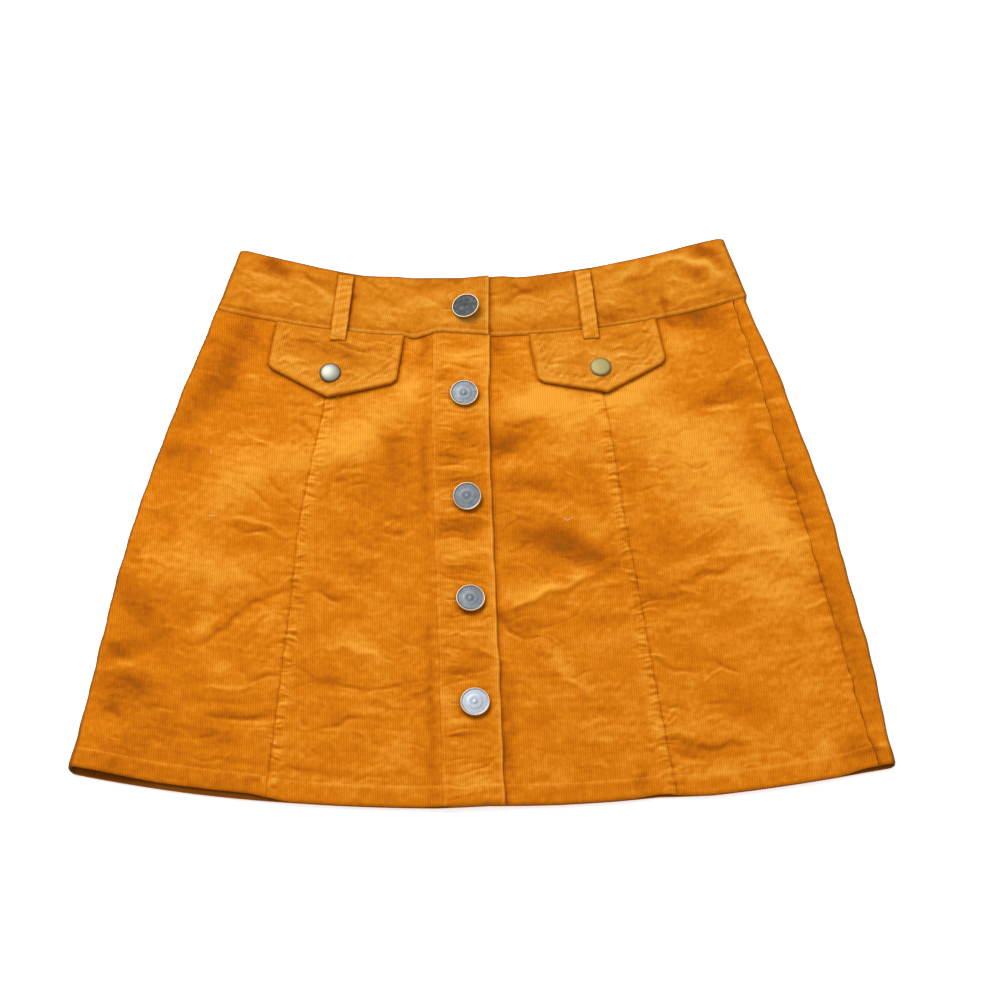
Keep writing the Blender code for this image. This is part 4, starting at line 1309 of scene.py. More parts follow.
def cover_shade(x, height):
    """Painted shadow beside the flaps, the placket and the waistband that lie on the front."""
    y = plan_y(x, height)
    uneven = 0.22 + 0.2 * wave(x, 41.0, 0.4)
    shade = uneven * beside(WAISTBAND_SHADE, band_foot(x) - height - 0.5)
    left, right = inside_placket(x, height)
    uneven = 0.75 + 0.25 * wave(height, 31.0, 0.4)
    shade = shade + np.where(right < 2.0, uneven * beside(PLACKET_SHADE, -right), 0.0)
    shade = shade + 0.16 * bump(left + 5.0, 3.6)
    for flap in FLAPS:
        along, down = place_in_flap(flap, x, y)
        outside = -flap_edge_distance(flap, along, down)
        shade = shade + np.where(down > -1.0, beside(FLAP_SHADE, outside), 0.0)
    return shade


def nap_and_shade_tone(x, height):
    """How light (above 0) or dark (below 0) the front looks: its nap, painted light and shade on creases
    and slopes, painted shade in the seams and along the hem, and painted shadow beside the pieces on top.
    """
    tone = crease_shading(CREASES + DETAIL_CREASES, x, height) + slope_shading(front_relief, x, height)
    tone = np.maximum(tone, DEEPEST) + crease_shading(BROAD_SHEEN_AND_SHADE, x, height)
    for column, inward in PRINCESS_SEAMS:
        across = inward * (x - section(column, height))
        rubbed = 0.16 * smoothstep(0.8, 2.6, across) * smoothstep(12.0, 8.0, across)
        # Painted shade in the princess seam's ditch
        ditch = (0.34 + 0.16 * wave(height, 27.0, 0.5)) * bump(across, 0.9)
        tone = tone + rubbed - ditch
    across = past_side_seam(x, height)
    # Painted shade in the side seam's ditch; past it the cloth is a little darker, and the right half a
    # little lighter
    tone = tone - (0.42 + 0.2 * wave(height, 31.0, 0.5)) * bump(across, 1.0)
    tone = tone - 0.1 * smoothstep(-1.0, 2.0, across) + 0.14 * smoothstep(20.0, 230.0, x)
    # The hem band a little darker, and painted shade along the hem's folded edge
    tone = tone - 0.12 * smoothstep(16.0, 12.0, height) + bells(HEM_EDGE_TONE, height)
    return tone - cover_shade(x, height)


def placket_tone(x, height):
    """Nap of the placket, with painted light and shade on its creases and slopes, a rubbed right edge, and
    painted shadow round the buttons and under the waistband.
    """
    left, right = inside_placket(x, height)
    tone = crease_shading(PLACKET_FOLDS, x, height, PLACKET_STRAY) + slope_shading(placket_top, x, height)
    tone = np.maximum(tone, DEEPEST) + 0.3 * smoothstep(250.0, 345.0, height)
    for button in BUTTONS:
        at = button_height(button)
        off = np.hypot(x - section("button_line", at), height - at + 0.8) - BUTTON_RADIUS
        tone = tone - beside(BUTTON_SHADE, off)
    tone = tone + bells(PLACKET_LEFT_TONE, left) + bells(PLACKET_RIGHT_TONE, right)
    return tone + bells(HEM_EDGE_TONE, height) - beside(BAND_FOOT_SHADE, band_foot(x) - height)


def band_tone(x, height):
    """Nap of the waistband, browner, with painted light and shade on its creases, slopes and stitched lower
    edge, painted shade along its upper edge, and painted shadow beside the belt loops.
    """
    tone = np.maximum(crease_shading(BAND_FOLDS, x, height) + slope_shading(band_relief, x, height), DEEPEST)
    tone = tone + bells(BAND_FOOT_TONE, height - band_foot(x)) + bells(BAND_TOP_TONE, BAND_TOP - height)
    tone = tone + bells(BAND_END_TONE, section("button_line", height) + BAND_OVERLAP - x)
    y = plan_y(x, height)
    for loop in BELT_LOOPS:
        share = (y - loop.foot_y) / (loop.top_y - loop.foot_y)
        off = np.abs(x - loop.foot_x - share * (loop.top_x - loop.foot_x)) - 0.5 * LOOP_WIDTH
        tone = tone - beside(LOOP_SHADE, off)
    return tone


# ---------------------------------------------------------------- materials


# Colours of the cloth, from the darkest painted shade and dark nap to the lightest nap and painted
# light, on the body and on the waistband; the painted shade that a groove between wales multiplies
# them by, and how fully; the painted shade of the inside; and the tint of the nap's sheen
EDGE_SHADE = (0.13, 0.055, 0.003)
DARK_NAP_AND_SHADE = (0.37, 0.088, 0.0006)
MIDDLE_NAP = (0.578, 0.164, 0.002)
LIGHT_NAP_AND_PAINTED_LIGHT = (0.73, 0.305, 0.028)
BAND_MIDDLE_NAP = (0.555, 0.181, 0.006)
BAND_LIGHT_NAP_AND_PAINTED_LIGHT = (0.70, 0.325, 0.045)
GROOVE_SHADE = (0.72, 0.62, 0.45)
GROOVE_SHADE_SHARE = 0.64
INSIDE_SHADE = (0.12, 0.034, 0.002)
SHEEN = (1.0, 0.6, 0.12, 1.0)

# Layers of unevenness in the nap: scale and stretch of the noise, its detail, the middle stretch
# of its range that counts, and how much it changes the tone
NapLayer = namedtuple("NapLayer", "scale stretch detail half_range change")
NAP_LAYERS = [
    NapLayer(38.0, (1.0, 1.0, 1.0), 3.0, 0.25, 0.16),
    NapLayer(120.0, (1.0, 1.3, 1.0), 2.0, 0.25, 0.22),
    NapLayer(300.0, (1.0, 1.2, 1.0), 2.0, 0.25, 0.21),
    NapLayer(560.0, (1.0, 0.15, 1.0), 2.0, 0.25, 0.12),
    NapLayer(1300.0, (1.0, 0.7, 1.0), 2.0, 0.3, 0.16),
]

# Thread and loose fibres, each between two colours
DARK_THREAD = (0.56, 0.17, 0.005)
LIGHT_THREAD = (0.76, 0.32, 0.03)
DARK_LINT = (0.72, 0.42, 0.34)
LIGHT_LINT = (0.95, 0.8, 0.74)

# Metals: colours in the hollows, where rubbed and on the rim, and roughness
Metal = namedtuple("Metal", "hollow worn rim roughness")
METALS = {
    # The pewter's cream rim is a painted reflection of the orange cloth round the buttons
    "pewter": Metal((0.02, 0.022, 0.022), (0.54, 0.6, 0.68), (0.6, 0.49, 0.34), 0.46),
    "silver": Metal((0.08, 0.075, 0.045), (0.36, 0.355, 0.3), (0.07, 0.045, 0.02), 0.5),
    "brass": Metal((0.12, 0.1, 0.04), (0.34, 0.3, 0.13), (0.16, 0.12, 0.05), 0.62),
}

# How metallic all of them are: worn metal is a little dull
METALLIC = 0.82


def set_inputs(made, values):
    """Set the inputs of a node by their labels."""
    for label, value in values.items():
        made.inputs[label].default_value = value


def new_material(name, roughness, metallic=0.0):
    """A material, its node tree and its shader."""
    material = bpy.data.materials.new(name)
    material.use_nodes = True
    shader = material.node_tree.nodes["Principled BSDF"]
    set_inputs(shader, {"Roughness": roughness, "Metallic": metallic})
    return material, material.node_tree, shader


def node(tree, kind, values=None, **properties):
    """Add a node, set its inputs by their labels, and set its properties."""
    made = tree.nodes.new(kind)
    for key, value in properties.items():
        setattr(made, key, value)
    set_inputs(made, values or {})
    return made


def attribute(tree, name):
    """Factor output of a mesh attribute."""
    return node(tree, "ShaderNodeAttribute", attribute_name=name).outputs["Fac"]


def remap(tree, value, from_low, from_high, to_low, to_high):
    """Map a range of values to another, held at both ends."""
    made = node(tree, "ShaderNodeMapRange", {"From Min": from_low, "From Max": from_high,
                                             "To Min": to_low, "To Max": to_high})
    tree.links.new(value, made.inputs["Value"])
    return made.outputs["Result"]


def plus(tree, first, second):
    """Sum of two sockets."""
    made = node(tree, "ShaderNodeMath", operation="ADD")
    tree.links.new(first, made.inputs[0])
    tree.links.new(second, made.inputs[1])
    return made.outputs["Value"]


def mix(tree, factor, first, second, blend="MIX"):
    """Mix two colours, each a socket or a tuple."""
    made = node(tree, "ShaderNodeMix", data_type="RGBA", blend_type=blend)
    for k, value in ((0, factor), (6, first), (7, second)):
        if isinstance(value, (int, float)):
            made.inputs[k].default_value = value
        elif isinstance(value, tuple):
            made.inputs[k].default_value = (*value, 1.0)
        else:
            tree.links.new(value, made.inputs[k])
    return made.outputs[2]


def noise(tree, scale, stretch=(1.0, 1.0, 1.0), detail=2.0):
    """Noise in metres of the object, stretched along its axes."""
    place = node(tree, "ShaderNodeTexCoord").outputs["Object"]
    mapping = node(tree, "ShaderNodeMapping", {"Scale": stretch})
    tree.links.new(place, mapping.inputs["Vector"])
    made = node(tree, "ShaderNodeTexNoise", {"Scale": scale, "Detail": detail})
    tree.links.new(mapping.outputs["Vector"], made.inputs["Vector"])
    return made.outputs["Fac"]


def roughen(tree, shader, height, strength, distance):
    """Fine unevenness of a surface."""
    made = node(tree, "ShaderNodeBump", {"Strength": strength, "Distance": distance})
    tree.links.new(height, made.inputs["Height"])
    tree.links.new(made.outputs["Normal"], shader.inputs["Normal"])


def corduroy_material(name, middle, light):
    """Orange cotton corduroy: painted shade in the grooves, lighter ridges, uneven brushed nap, and the
    painted light and shade of the tone attribute.
    """
    material, tree, shader = new_material(name, 0.92)
    level = attribute(tree, "tone")
    for layer in NAP_LAYERS:
        pattern = noise(tree, layer.scale, layer.stretch, layer.detail)
        level = plus(tree, level, remap(tree, pattern, 0.5 - layer.half_range, 0.5 + layer.half_range,
                                        -layer.change, layer.change))
    nap = mix(tree, remap(tree, level, 0.0, 1.0, 0.0, 1.0), middle, light)
    nap = mix(tree, remap(tree, level, -1.0, 0.0, 1.0, 0.0), nap, DARK_NAP_AND_SHADE)
    nap = mix(tree, remap(tree, level, -2.2, -1.0, 1.0, 0.0), nap, EDGE_SHADE)
    groove = remap(tree, attribute(tree, "wale"), -0.9, 0.5, GROOVE_SHADE_SHARE, 0.0)
    cloth = mix(tree, groove, nap, GROOVE_SHADE, "MULTIPLY")
    # The inside and the turned-in hem are painted dark, as painted shade
    colour = mix(tree, attribute(tree, "inside"), cloth, INSIDE_SHADE)
    tree.links.new(colour, shader.inputs["Base Color"])
    set_inputs(shader, {"Sheen Weight": 0.14, "Sheen Roughness": 0.5, "Sheen Tint": SHEEN,
                        "Specular IOR Level": 0.06})
    roughen(tree, shader, noise(tree, 2600.0, (1.0, 0.6, 1.0)), 0.35, 0.0003)
    return material


def speckled_material(name, roughness, scale, half_range, dark, light):
    """Matt fibre, speckled between two colours."""
    material, tree, shader = new_material(name, roughness)
    speckle = remap(tree, noise(tree, scale), 0.5 - half_range, 0.5 + half_range, 0.0, 1.0)
    tree.links.new(mix(tree, speckle, dark, light), shader.inputs["Base Color"])
    return material


def metal_material(name, metal):
    """Aged metal: darker in its hollows, lighter where it is rubbed, with a rim of another colour, which on
    the buttons is a painted reflection of the cloth.
    """
    material, tree, shader = new_material(name, metal.roughness, METALLIC)
    worn = remap(tree, attribute(tree, "tone"), 0.0, 1.0, 0.0, 1.0)
    cloud = remap(tree, noise(tree, 300.0, detail=4.0), 0.3, 0.7, -0.05, 0.05)
    level = remap(tree, plus(tree, worn, cloud), 0.0, 1.0, 0.0, 1.0)
    face = mix(tree, level, metal.hollow, metal.worn)
    edge = remap(tree, attribute(tree, "inside"), 0.0, 1.0, 0.0, 1.0)
    tree.links.new(mix(tree, edge, face, metal.rim), shader.inputs["Base Color"])
    roughen(tree, shader, noise(tree, 1100.0, detail=3.0), 0.12, 0.0002)
    return material


# ---------------------------------------------------------------- cloth pieces


# How much painted shade darkens the side folds where they turn away, and the back's hem edge that shows
# under the front
FOLD_SHADE = 2.1
BACK_HEM_SHADE = 1.2

# How far the wales of a piece lean to the right, for each millimetre down the garment
CENTRE_LEAN = 0.035
SIDE_RIGHT_LEAN = 0.065
BACK_LEAN = 0.15
PLACKET_LEAN = 0.025

# The waistband's wales fan out from a point so far below its lower edge
BAND_GRAIN_RADIUS = 290.0

INNER_FROM = len(HEM_TURNED) + len(HEM_EDGE) + len(HEM_ROWS) - 1
PLACKET_ROWS = ([Row(0.0, 1.1, 90.0), Row(0.4, 0.5, 50.0), Row(1.3, 0.1, 18.0), Row(2.6, 0.0, 0.0)]
                + rows_between(2.6, WAIST_SEAM - WAIST_GAP, PLACKET_ROW))
BAND_ROWS = ([Row(355.0, 1.3, 0.0), Row(355.35, 0.6, 0.0), Row(356.1, 0.15, 0.0), Row(357.2, 0.0, 0.0)]
             + rows_between(357.2, 401.6, BAND_ROW)
             + [Row(402.6, 0.12, 20.0), Row(403.3, 0.5, 50.0), Row(BAND_TOP, 1.2, 90.0)])


def tube_place(top, side_height, tone=nap_and_shade_tone):
    """A function that gives the points and tone of a piece of the flattened tube."""
    def place(x, height, depth):
        """Points and tone at unrolled places."""
        on_back = x_past_fold(x, height, side_height)
        points = tube_points(x, height, depth, top, side_height)
        points[:, 2] += 0.5 * WALE_HEIGHT * on_back
        # Painted shade on the side folds and along the back's hem, and the back's creases as painted light
        # and shade
        shade = fold_shade(x, height, side_height)
        hem = BACK_HEM_SHADE * on_back * bump(height, 2.4)
        back = crease_shading(BACK_SHADES, points[:, 0], height) * on_back
        return points, tone(x, height) * (1.0 - on_back) + back - shade - hem
    return place


def past_fold(x, height, side_height, narrow=0.0):
    """Share of the way round a side fold: 0 or less on the front, 1 or more on the back."""
    side = np.where(x < 0.0, -1.0, 1.0)
    past = np.abs(x) - np.abs(fold_start(side, height, side_height, narrow))
    return past / fold_arc(side, height, side_height)


def x_past_fold(x, height, side_height, narrow=0.0):
    """0 on the front and 1 on the back, easing round the side folds."""
    return smoothstep(0.0, 1.0, past_fold(x, height, side_height, narrow))


def fold_shade(x, height, side_height, narrow=0.0):
    """Painted shade, darker and greener, on a side fold where it turns away."""
    past = past_fold(x, height, side_height, narrow)
    return FOLD_SHADE * smoothstep(0.06, 0.34, past) * smoothstep(1.0, 0.66, past)


def panel_rows(step):
    """Rows of a panel: turned-in hem, hem edge, then the outer face up to the waist seam."""
    return HEM_TURNED + HEM_EDGE + HEM_ROWS + rows_between(HEM_TURN, WAIST_SEAM - WAIST_GAP, step)


def heights_of(rows):
    """Heights of rows, as an array."""
    return np.array([row.height for row in rows])


def below_band(place):
    """Fit the upper rows of a piece to the waistband's lower edge."""
    def fitted(x, height, depth):
        share = np.clip((height - FIT_START) / (WAIST_SEAM - FIT_START), 0.0, None)
        return place(x, height + share * (band_foot(x) - WAIST_SEAM), depth)
    return fitted


def build_front_panels(material):
    """The four panels of the front by name, from left to right."""
    rows = panel_rows(FRONT_ROW)
    h = heights_of(rows)
    half, buttons = section("half_width", h), section("button_line", h)
    left, right = section("seam_left", h), section("seam_right", h)
    left_fold = fold_start(-1.0, h, side_top)
    wrapped = left_fold - fold_arc(-1.0, h, side_top) - (BACK_RETURN - half - left_fold)
    before_side = half - section("side_inset", h) - 0.5 * SEAM_GAP
    on_front = tube_place(front_top, side_top)
    to_placket = below_band(tube_place(centre_left_top, side_top))
    gap = 0.5 * PRINCESS_GAP
    panels = [
        ("front_side_left", wrapped, left - gap, 0.0, on_front),
        ("front_centre_left", left + gap, buttons - PLACKET_LEFT - 0.5 * JOIN_GAP, CENTRE_LEAN, to_placket),
        ("front_centre_right", buttons - UNDERLAP, right - gap, CENTRE_LEAN, on_front),
        ("front_side_right", right + gap, before_side, SIDE_RIGHT_LEAN, on_front),
    ]
    return {name: build_cloth("cloth_" + name, rows, [(straight_weave(lean), low, high)], place,
                              material, CLOTH, INNER_FROM)
            for name, low, high, lean, place in panels}


def build_back_panel(material):
    """The back, which wraps round the right side fold to its seam on the front."""
    rows = panel_rows(BACK_ROW)
    h = heights_of(rows)
    edge = fold_start(1.0, h, side_top)
    arc = fold_arc(1.0, h, side_top)
    half = section("half_width", h)
    low = half - section("side_inset", h) + 0.5 * SEAM_GAP
    middle = edge + 0.5 * arc
    high = edge + arc + edge + half - BACK_RETURN - SEAM_GAP

    def turned(height):
        """Unrolled x of the middle of the back."""
        return 2.0 * fold_start(1.0, height, side_top) + fold_arc(1.0, height, side_top)

    behind = Weave(lambda x, height: x - turned(height), lambda wale, height: wale + turned(height))
    parts = [(straight_weave(BACK_LEAN), low, middle), (behind, middle, high)]
    return build_cloth("cloth_back_panel", rows, parts, tube_place(front_top, side_top),
                       material, CLOTH, INNER_FROM)


def build_placket(material):
    """The strip with the buttonholes, its edges a little rounded."""
    h = heights_of(PLACKET_ROWS)
    low = section("button_line", h) - PLACKET_LEFT + 0.5 * JOIN_GAP
    high = section("button_line", h) + PLACKET_RIGHT

    def top(x, height):
        """Outer face with its rounded edges."""
        left, right = inside_placket(x, height)
        return placket_top(x, height) - edge_drop(left, 0.4) - edge_drop(right, 1.2)

    place = below_band(tube_place(top, side_top, placket_tone))
    return build_cloth("cloth_placket", PLACKET_ROWS, [(straight_weave(PLACKET_LEAN), low, high)],
                       place, material, PLACKET_CLOTH)


def edge_drop(distance, radius):
    """How far a rounded edge falls away at a distance inside it."""
    into = np.clip(radius - distance, 0.0, radius)
    return radius - np.sqrt(radius ** 2 - into ** 2)


def build_waistband(material):
    """One strip all round, its left end buttoned over its right end."""
    h = heights_of(BAND_ROWS)
    middle = section("button_line", WAIST_SEAM)
    end = middle + BAND_OVERLAP
    edge = fold_start(1.0, h, band_side_top, band_corner(h))
    arc = fold_arc(1.0, h, band_side_top)
    low = np.full(h.shape, middle - BAND_UNDERLAP)
    right_fold = edge + 0.5 * arc
    left_fold = 3.0 * edge + 1.5 * arc
    high = 4.0 * edge + 2.0 * arc + end

    def whole_at(height):
        """Length all round the waistband."""
        start = fold_start(1.0, height, band_side_top, band_corner(height))
        return 4.0 * start + 2.0 * fold_arc(1.0, height, band_side_top)

    def fan(share):
        """Wales that are upright at a share of the way round and lean in on both sides of it."""
        def wale_at(x, height):
            """Wale number at an unrolled x."""
            spot = x - share * whole_at(height)
            return (BAND_GRAIN_RADIUS + height - WAIST_SEAM) * np.sin(spot / BAND_GRAIN_RADIUS)

        def x_at(wale, height):
            """Unrolled x of a wale number."""
            ratio = np.clip(wale / (BAND_GRAIN_RADIUS + height - WAIST_SEAM), -1.0, 1.0)
            return share * whole_at(height) + BAND_GRAIN_RADIUS * np.arcsin(ratio)
        return Weave(wale_at, x_at)

    def place(x, height, depth):
        """Points and tone of the strip, its left part counted from its other end."""
        turned = whole_at(height)
        on_left = x > 0.5 * turned
        spot = np.where(on_left, x - turned, x)
        corner = band_corner(height)
        on_back = x_past_fold(spot, height, band_side_top, corner)
        real = np.where(on_back > 0.0, height, band_height(spot, height))
        points = tube_points(spot, real, depth, band_top, band_side_top, corner)
        from_end = np.where(on_left, end - spot, FAR)
        lift = np.where(on_left, band_lift(spot), 0.0) - edge_drop(from_end, 1.2)
        points[:, 2] += lift * (1.0 - on_back) + 0.5 * WALE_HEIGHT * on_back
        # Painted shadow that the buttoned end casts on the end under it
        shade = np.where(on_left, 0.0, beside(BAND_END_SHADE, spot - end))
        tone = (band_tone(spot, real) - shade + bells(BAND_END_LIGHT, from_end)) * (1.0 - on_back)
        return points, tone - fold_shade(spot, height, band_side_top, corner)

    parts = [(fan(0.0), low, right_fold), (fan(0.5), right_fold, left_fold), (fan(1.0), left_fold, high)]
    return build_cloth("cloth_waistband", BAND_ROWS, parts, place, material, BAND_CLOTH)


# ---------------------------------------------------------------- flaps and belt loops


def flap_depth(flap, along):
    """Depth of a flap at a place along its width, with blunt lower corners."""
    across = np.abs(along) / (0.5 * flap.width)
    depth = flap.side_depth + (flap.point_depth - flap.side_depth) * (1.0 - across)
    into = np.clip(FLAP_CORNER_RADIUS - (0.5 * flap.width - np.abs(along)), 0.0, FLAP_CORNER_RADIUS)
    return depth - FLAP_CORNER_RADIUS + np.sqrt(FLAP_CORNER_RADIUS ** 2 - 0.8 * into ** 2)


def flap_plan(flap, along, down):
    """Plan position in a flap, in millimetres along its width and down from its top edge."""
    slope = radians(flap.turn)
    x = flap.x + along * cos(slope) + down * sin(slope)
    y = flap.y + along * sin(slope) - down * cos(slope)
    return x, y


def place_in_flap(flap, x, y):
    """The way along and down a flap to a point of the plan."""
    slope = radians(flap.turn)
    along = (x - flap.x) * cos(slope) + (y - flap.y) * sin(slope)
    down = (x - flap.x) * sin(slope) - (y - flap.y) * cos(slope)
    return along, down


def under_flap(x, height):
    """Height of the face that a flap lies on, clear of the seam allowance under it."""
    left = bump(x - section("seam_left", height) - 5.5, 9.0)
    right = bump(x - section("seam_right", height) + 5.5, 9.0)
    return front_form(x, height) + left + right


def flap_slope(flap):
    """How steeply the lower edges of a flap run to its point."""
    return (flap.point_depth - flap.side_depth) / (0.5 * flap.width)


def flap_edge_distance(flap, along, down):
    """Distance inwards from a flap's free edges."""
    below = (flap_depth(flap, along) - down) / hypot(1.0, flap_slope(flap))
    return np.minimum(below, 0.5 * flap.width - np.abs(along))


def flap_gap(inside):
    """The free edges of a flap curl up a little."""
    return LAYER_GAP + FLAP_EDGE_LIFT * smoothstep(8.0, 0.0, inside)


def flap_puckers(seed, flap):
    """Small creases of a flap, in its own directions, along and up."""
    def pucker(draw):
        along = draw.uniform(-0.46, 0.46) * flap.width
        down = draw.uniform(0.06, 0.94) * float(flap_depth(flap, along))
        return short_crease(draw, along, -down, draw.uniform(6.0, 26.0), 0.22, (1.0, 2.4), (0.1, 0.32))
    return strewn(seed, 44, pucker)


FLAP_FOLDS = {flap.name: flap_puckers(41 + k, flap) for k, flap in enumerate(FLAPS)}


def flap_relief(flap, along, up):
    """Creases of a flap and the channel of its stitching."""
    inside = flap_edge_distance(flap, along, -up)
    from_stitch = inside - FLAP_STITCH
    puckers = 0.2 * wave(along - up + flap.x, 7.1, 0.5) * bump(from_stitch, 3.0)
    edge = 0.2 * smoothstep(1.0, -2.5, from_stitch) + bells(FLAP_EDGE_RELIEF, inside)
    folds = crease_rise(FLAP_FOLDS[flap.name], along, up, PLACKET_STRAY) + 0.45 * crumple(along, up)
    return puckers + edge + folds * smoothstep(0.0, 4.0, -up)


def flap_top(flap, along, down):
    """Outer face of a flap: padded between its stitching and its edges."""
    x, y = flap_plan(flap, along, down)
    inside = flap_edge_distance(flap, along, down)
    cloth = FLAP_ROOT_CLOTH + (FLAP_CLOTH - FLAP_ROOT_CLOTH) * smoothstep(0.0, FLAP_ROOT, down)
    across = along / (0.5 * flap.width)
    depth_share = np.clip(down / flap_depth(flap, along), 0.0, 1.0)
    bulge = FLAP_BULGE * (1.0 - across ** 2) * np.sin(pi * depth_share)
    return (under_flap(x, height_at(x, y)) + flap_gap(inside) + cloth + bulge
            + flap_relief(flap, along, -down) - edge_drop(np.clip(inside, 0.0, None), 1.5))


def close_small(shell, outer, across, few, under):
    """Finish a small flat piece: its faces, an inner side from few of its columns, and its edges."""
    inner = shell.grid(under, 0.0, 0.0, 1.0)
    shell.quads(outer)
    shell.quads(inner[:, ::-1])
    for end in (0, -1):
        shell.rim(outer[end], across, inner[end], across[few])
    for end in (0, -1):
        for i in range(len(outer) - 1):
            corners = (outer[i, end], outer[i + 1, end], inner[i + 1, end], inner[i, end])
            shell.faces.append([int(number) for number in corners])


def build_flap(flap, material):
    """Pointed pocket flap lying on the front, its root against the waistband."""
    shell = Shell()
    count = int(round(flap.width * SMALL_COLUMNS / WALE))
    along = np.linspace(-0.5 * flap.width, 0.5 * flap.width, count + 1)
    x, y = flap_plan(flap, along, 0.0)
    root = y - plan_y(x, WAIST_SEAM - SEAM_GAP)
    steps = int(round(flap.point_depth / FLAP_ROW))
    shares = np.concatenate([np.linspace(0.0, 1.0, steps + 1)[:-1],
                             1.0 - np.array([1.2, 0.6, 0.2, 0.0]) / flap.point_depth])
    down = root + (flap_depth(flap, along) - root) * shares[:, None]
    wide = np.broadcast_to(along, down.shape)
    ridge = wale_profile(wide)
    inside = np.clip(flap_edge_distance(flap, wide, down), 0.0, None)
    z = flap_top(flap, wide, down) + 0.5 * WALE_HEIGHT * ridge * smoothstep(0.0, 1.5, inside)
    x, y = flap_plan(flap, wide, down)
    outer = shell.grid(np.stack([x, y, z], axis=-1), ridge, flap_tone(flap, wide, down, inside), 0.0)
    few = np.linspace(0, count, 27).astype(int)
    x, y = x[:, few], y[:, few]
    under = under_flap(x, height_at(x, y)) + flap_gap(inside[:, few])
    close_small(shell, outer, along, few, np.stack([x, y, under], axis=-1))
    return shell.build("cloth_" + flap.name, material)


def flap_tone(flap, along, down, inside):
    """Nap of a flap, with painted light and shade on its creases and slopes, lighter rubbed edges with
    painted shade on the very edge, and painted shadow just under the waistband.
    """
    x, y = flap_plan(flap, along, down)
    tone = crease_shading(CREASES, x, height_at(x, y)) + crease_shading(FLAP_FOLDS[flap.name], along, -down)
    tone = tone + slope_shading(lambda a, up: flap_relief(flap, a, up), along, -down) + 0.05
    return tone + bells(FLAP_EDGE_TONE, inside) + bells(FLAP_ROOT_TONE, down)


def loop_line(loop):
    """Length of a belt loop in plan, and its direction from its head to its foot."""
    line = Vector((loop.foot_x - loop.top_x, loop.foot_y - loop.top_y))
    return line.length, line.normalized()


def loop_base(part):
    """Height of a belt loop's inner face at a share of its length: it arches over the waistband."""
    foot = smoothstep(1.0 - 2.0 * LOOP_FOOT_SHARE, 1.0 - LOOP_FOOT_SHARE, part)
    arch = LOOP_ARCH * np.sin(pi * np.minimum(part / (1.0 - LOOP_FOOT_SHARE), 1.0))
    return LOOP_HEAD_Z + (LOOP_FOOT_Z - LOOP_HEAD_Z) * foot + arch


def loop_plan(loop, direction, along, wide):
    """Plan position on a belt loop, along from its head and across from its middle."""
    return (loop.top_x + direction.x * along - direction.y * wide,
            loop.top_y + direction.y * along + direction.x * wide)


def build_belt_loop(loop, material):
    """Belt loop: a folded strip arched over the waistband, its foot on the flap."""
    shell = Shell()
    length, direction = loop_line(loop)
    steps = int(round(length / LOOP_ROW))
    share = np.concatenate([[0.0, 0.006, 0.018], np.linspace(0.0, 1.0, steps + 1)[1:-1],
                            [0.982, 0.994, 1.0]])
    across = WALE / SMALL_COLUMNS * np.arange(-LOOP_COLUMNS, LOOP_COLUMNS + 1)
    across = np.concatenate([[-0.5 * LOOP_WIDTH], across, [0.5 * LOOP_WIDTH]])
    along, wide = np.meshgrid(share * length, across, indexing="ij")
    ends = np.minimum(along, length - along)
    sides = 0.5 * LOOP_WIDTH - np.abs(wide)
    base = loop_base(along / length)
    ridge = wale_profile(wide)
    top = base + LOOP_CLOTH - edge_drop(sides, 0.8) - edge_drop(ends, 0.9)
    top = top + 0.14 * ridge * smoothstep(0.0, 1.2, sides) + 0.16 * wave(along + 0.4 * wide, 6.0, 0.4)
    top = top + 0.1 * wave(along - 0.7 * wide, 3.7, 0.4) * smoothstep(0.0, 2.0, sides)
    # Lighter all over, with painted light and shade on its ripples
    tone = 0.34 + 0.3 * wave(along + 0.4 * wide + 1.5, 6.0, 0.4)
    tone = tone + bells(LOOP_END_TONE, ends) + bells(LOOP_SIDE_TONE, sides)
    for tack in LOOP_TACKS:
        top = top + bells(TACK_RELIEF, along - tack)
        tone = tone + bells(TACK_TONE, along - tack)
    x, y = loop_plan(loop, direction, along, wide * (1.0 + LOOP_FLARE * wave(along, 13.0, 0.5)))
    outer = shell.grid(np.stack([x, y, top], axis=-1), ridge, tone, 0.0)
    few = np.linspace(0, len(across) - 1, 7).astype(int)
    under = np.stack([x[:, few], y[:, few], base[:, few]], axis=-1)
    close_small(shell, outer, across, few, under)
    return shell.build("cloth_" + loop.name, material)


# ---------------------------------------------------------------- thread


# Stitches: length, gap and radius of the thread, which is finer where the back rests on it
Stitch = namedtuple("Stitch", "length gap radius")
SEAM_STITCH = Stitch(2.5, 0.8, 0.21)
BACK_STITCH = Stitch(2.5, 0.8, 0.13)
TACK_STITCH = Stitch(1.5, 0.3, 0.26)
HOLE_STITCH = Stitch(0.8, 0.2, 0.24)
LINT_STITCH = Stitch(1.6, 0.05, 0.2)

# Rings of a stitch: where they are along it and how thick they are, as shares; how deep its ends
# sink, in radii; and its sides
STITCH_SHARES = np.array([0.0, 0.12, 0.5, 0.88, 1.0])
STITCH_GIRTHS = np.array([0.0, 0.75, 1.0, 0.75, 0.0])
STITCH_SINK = 0.8
STITCH_SIDES = 5


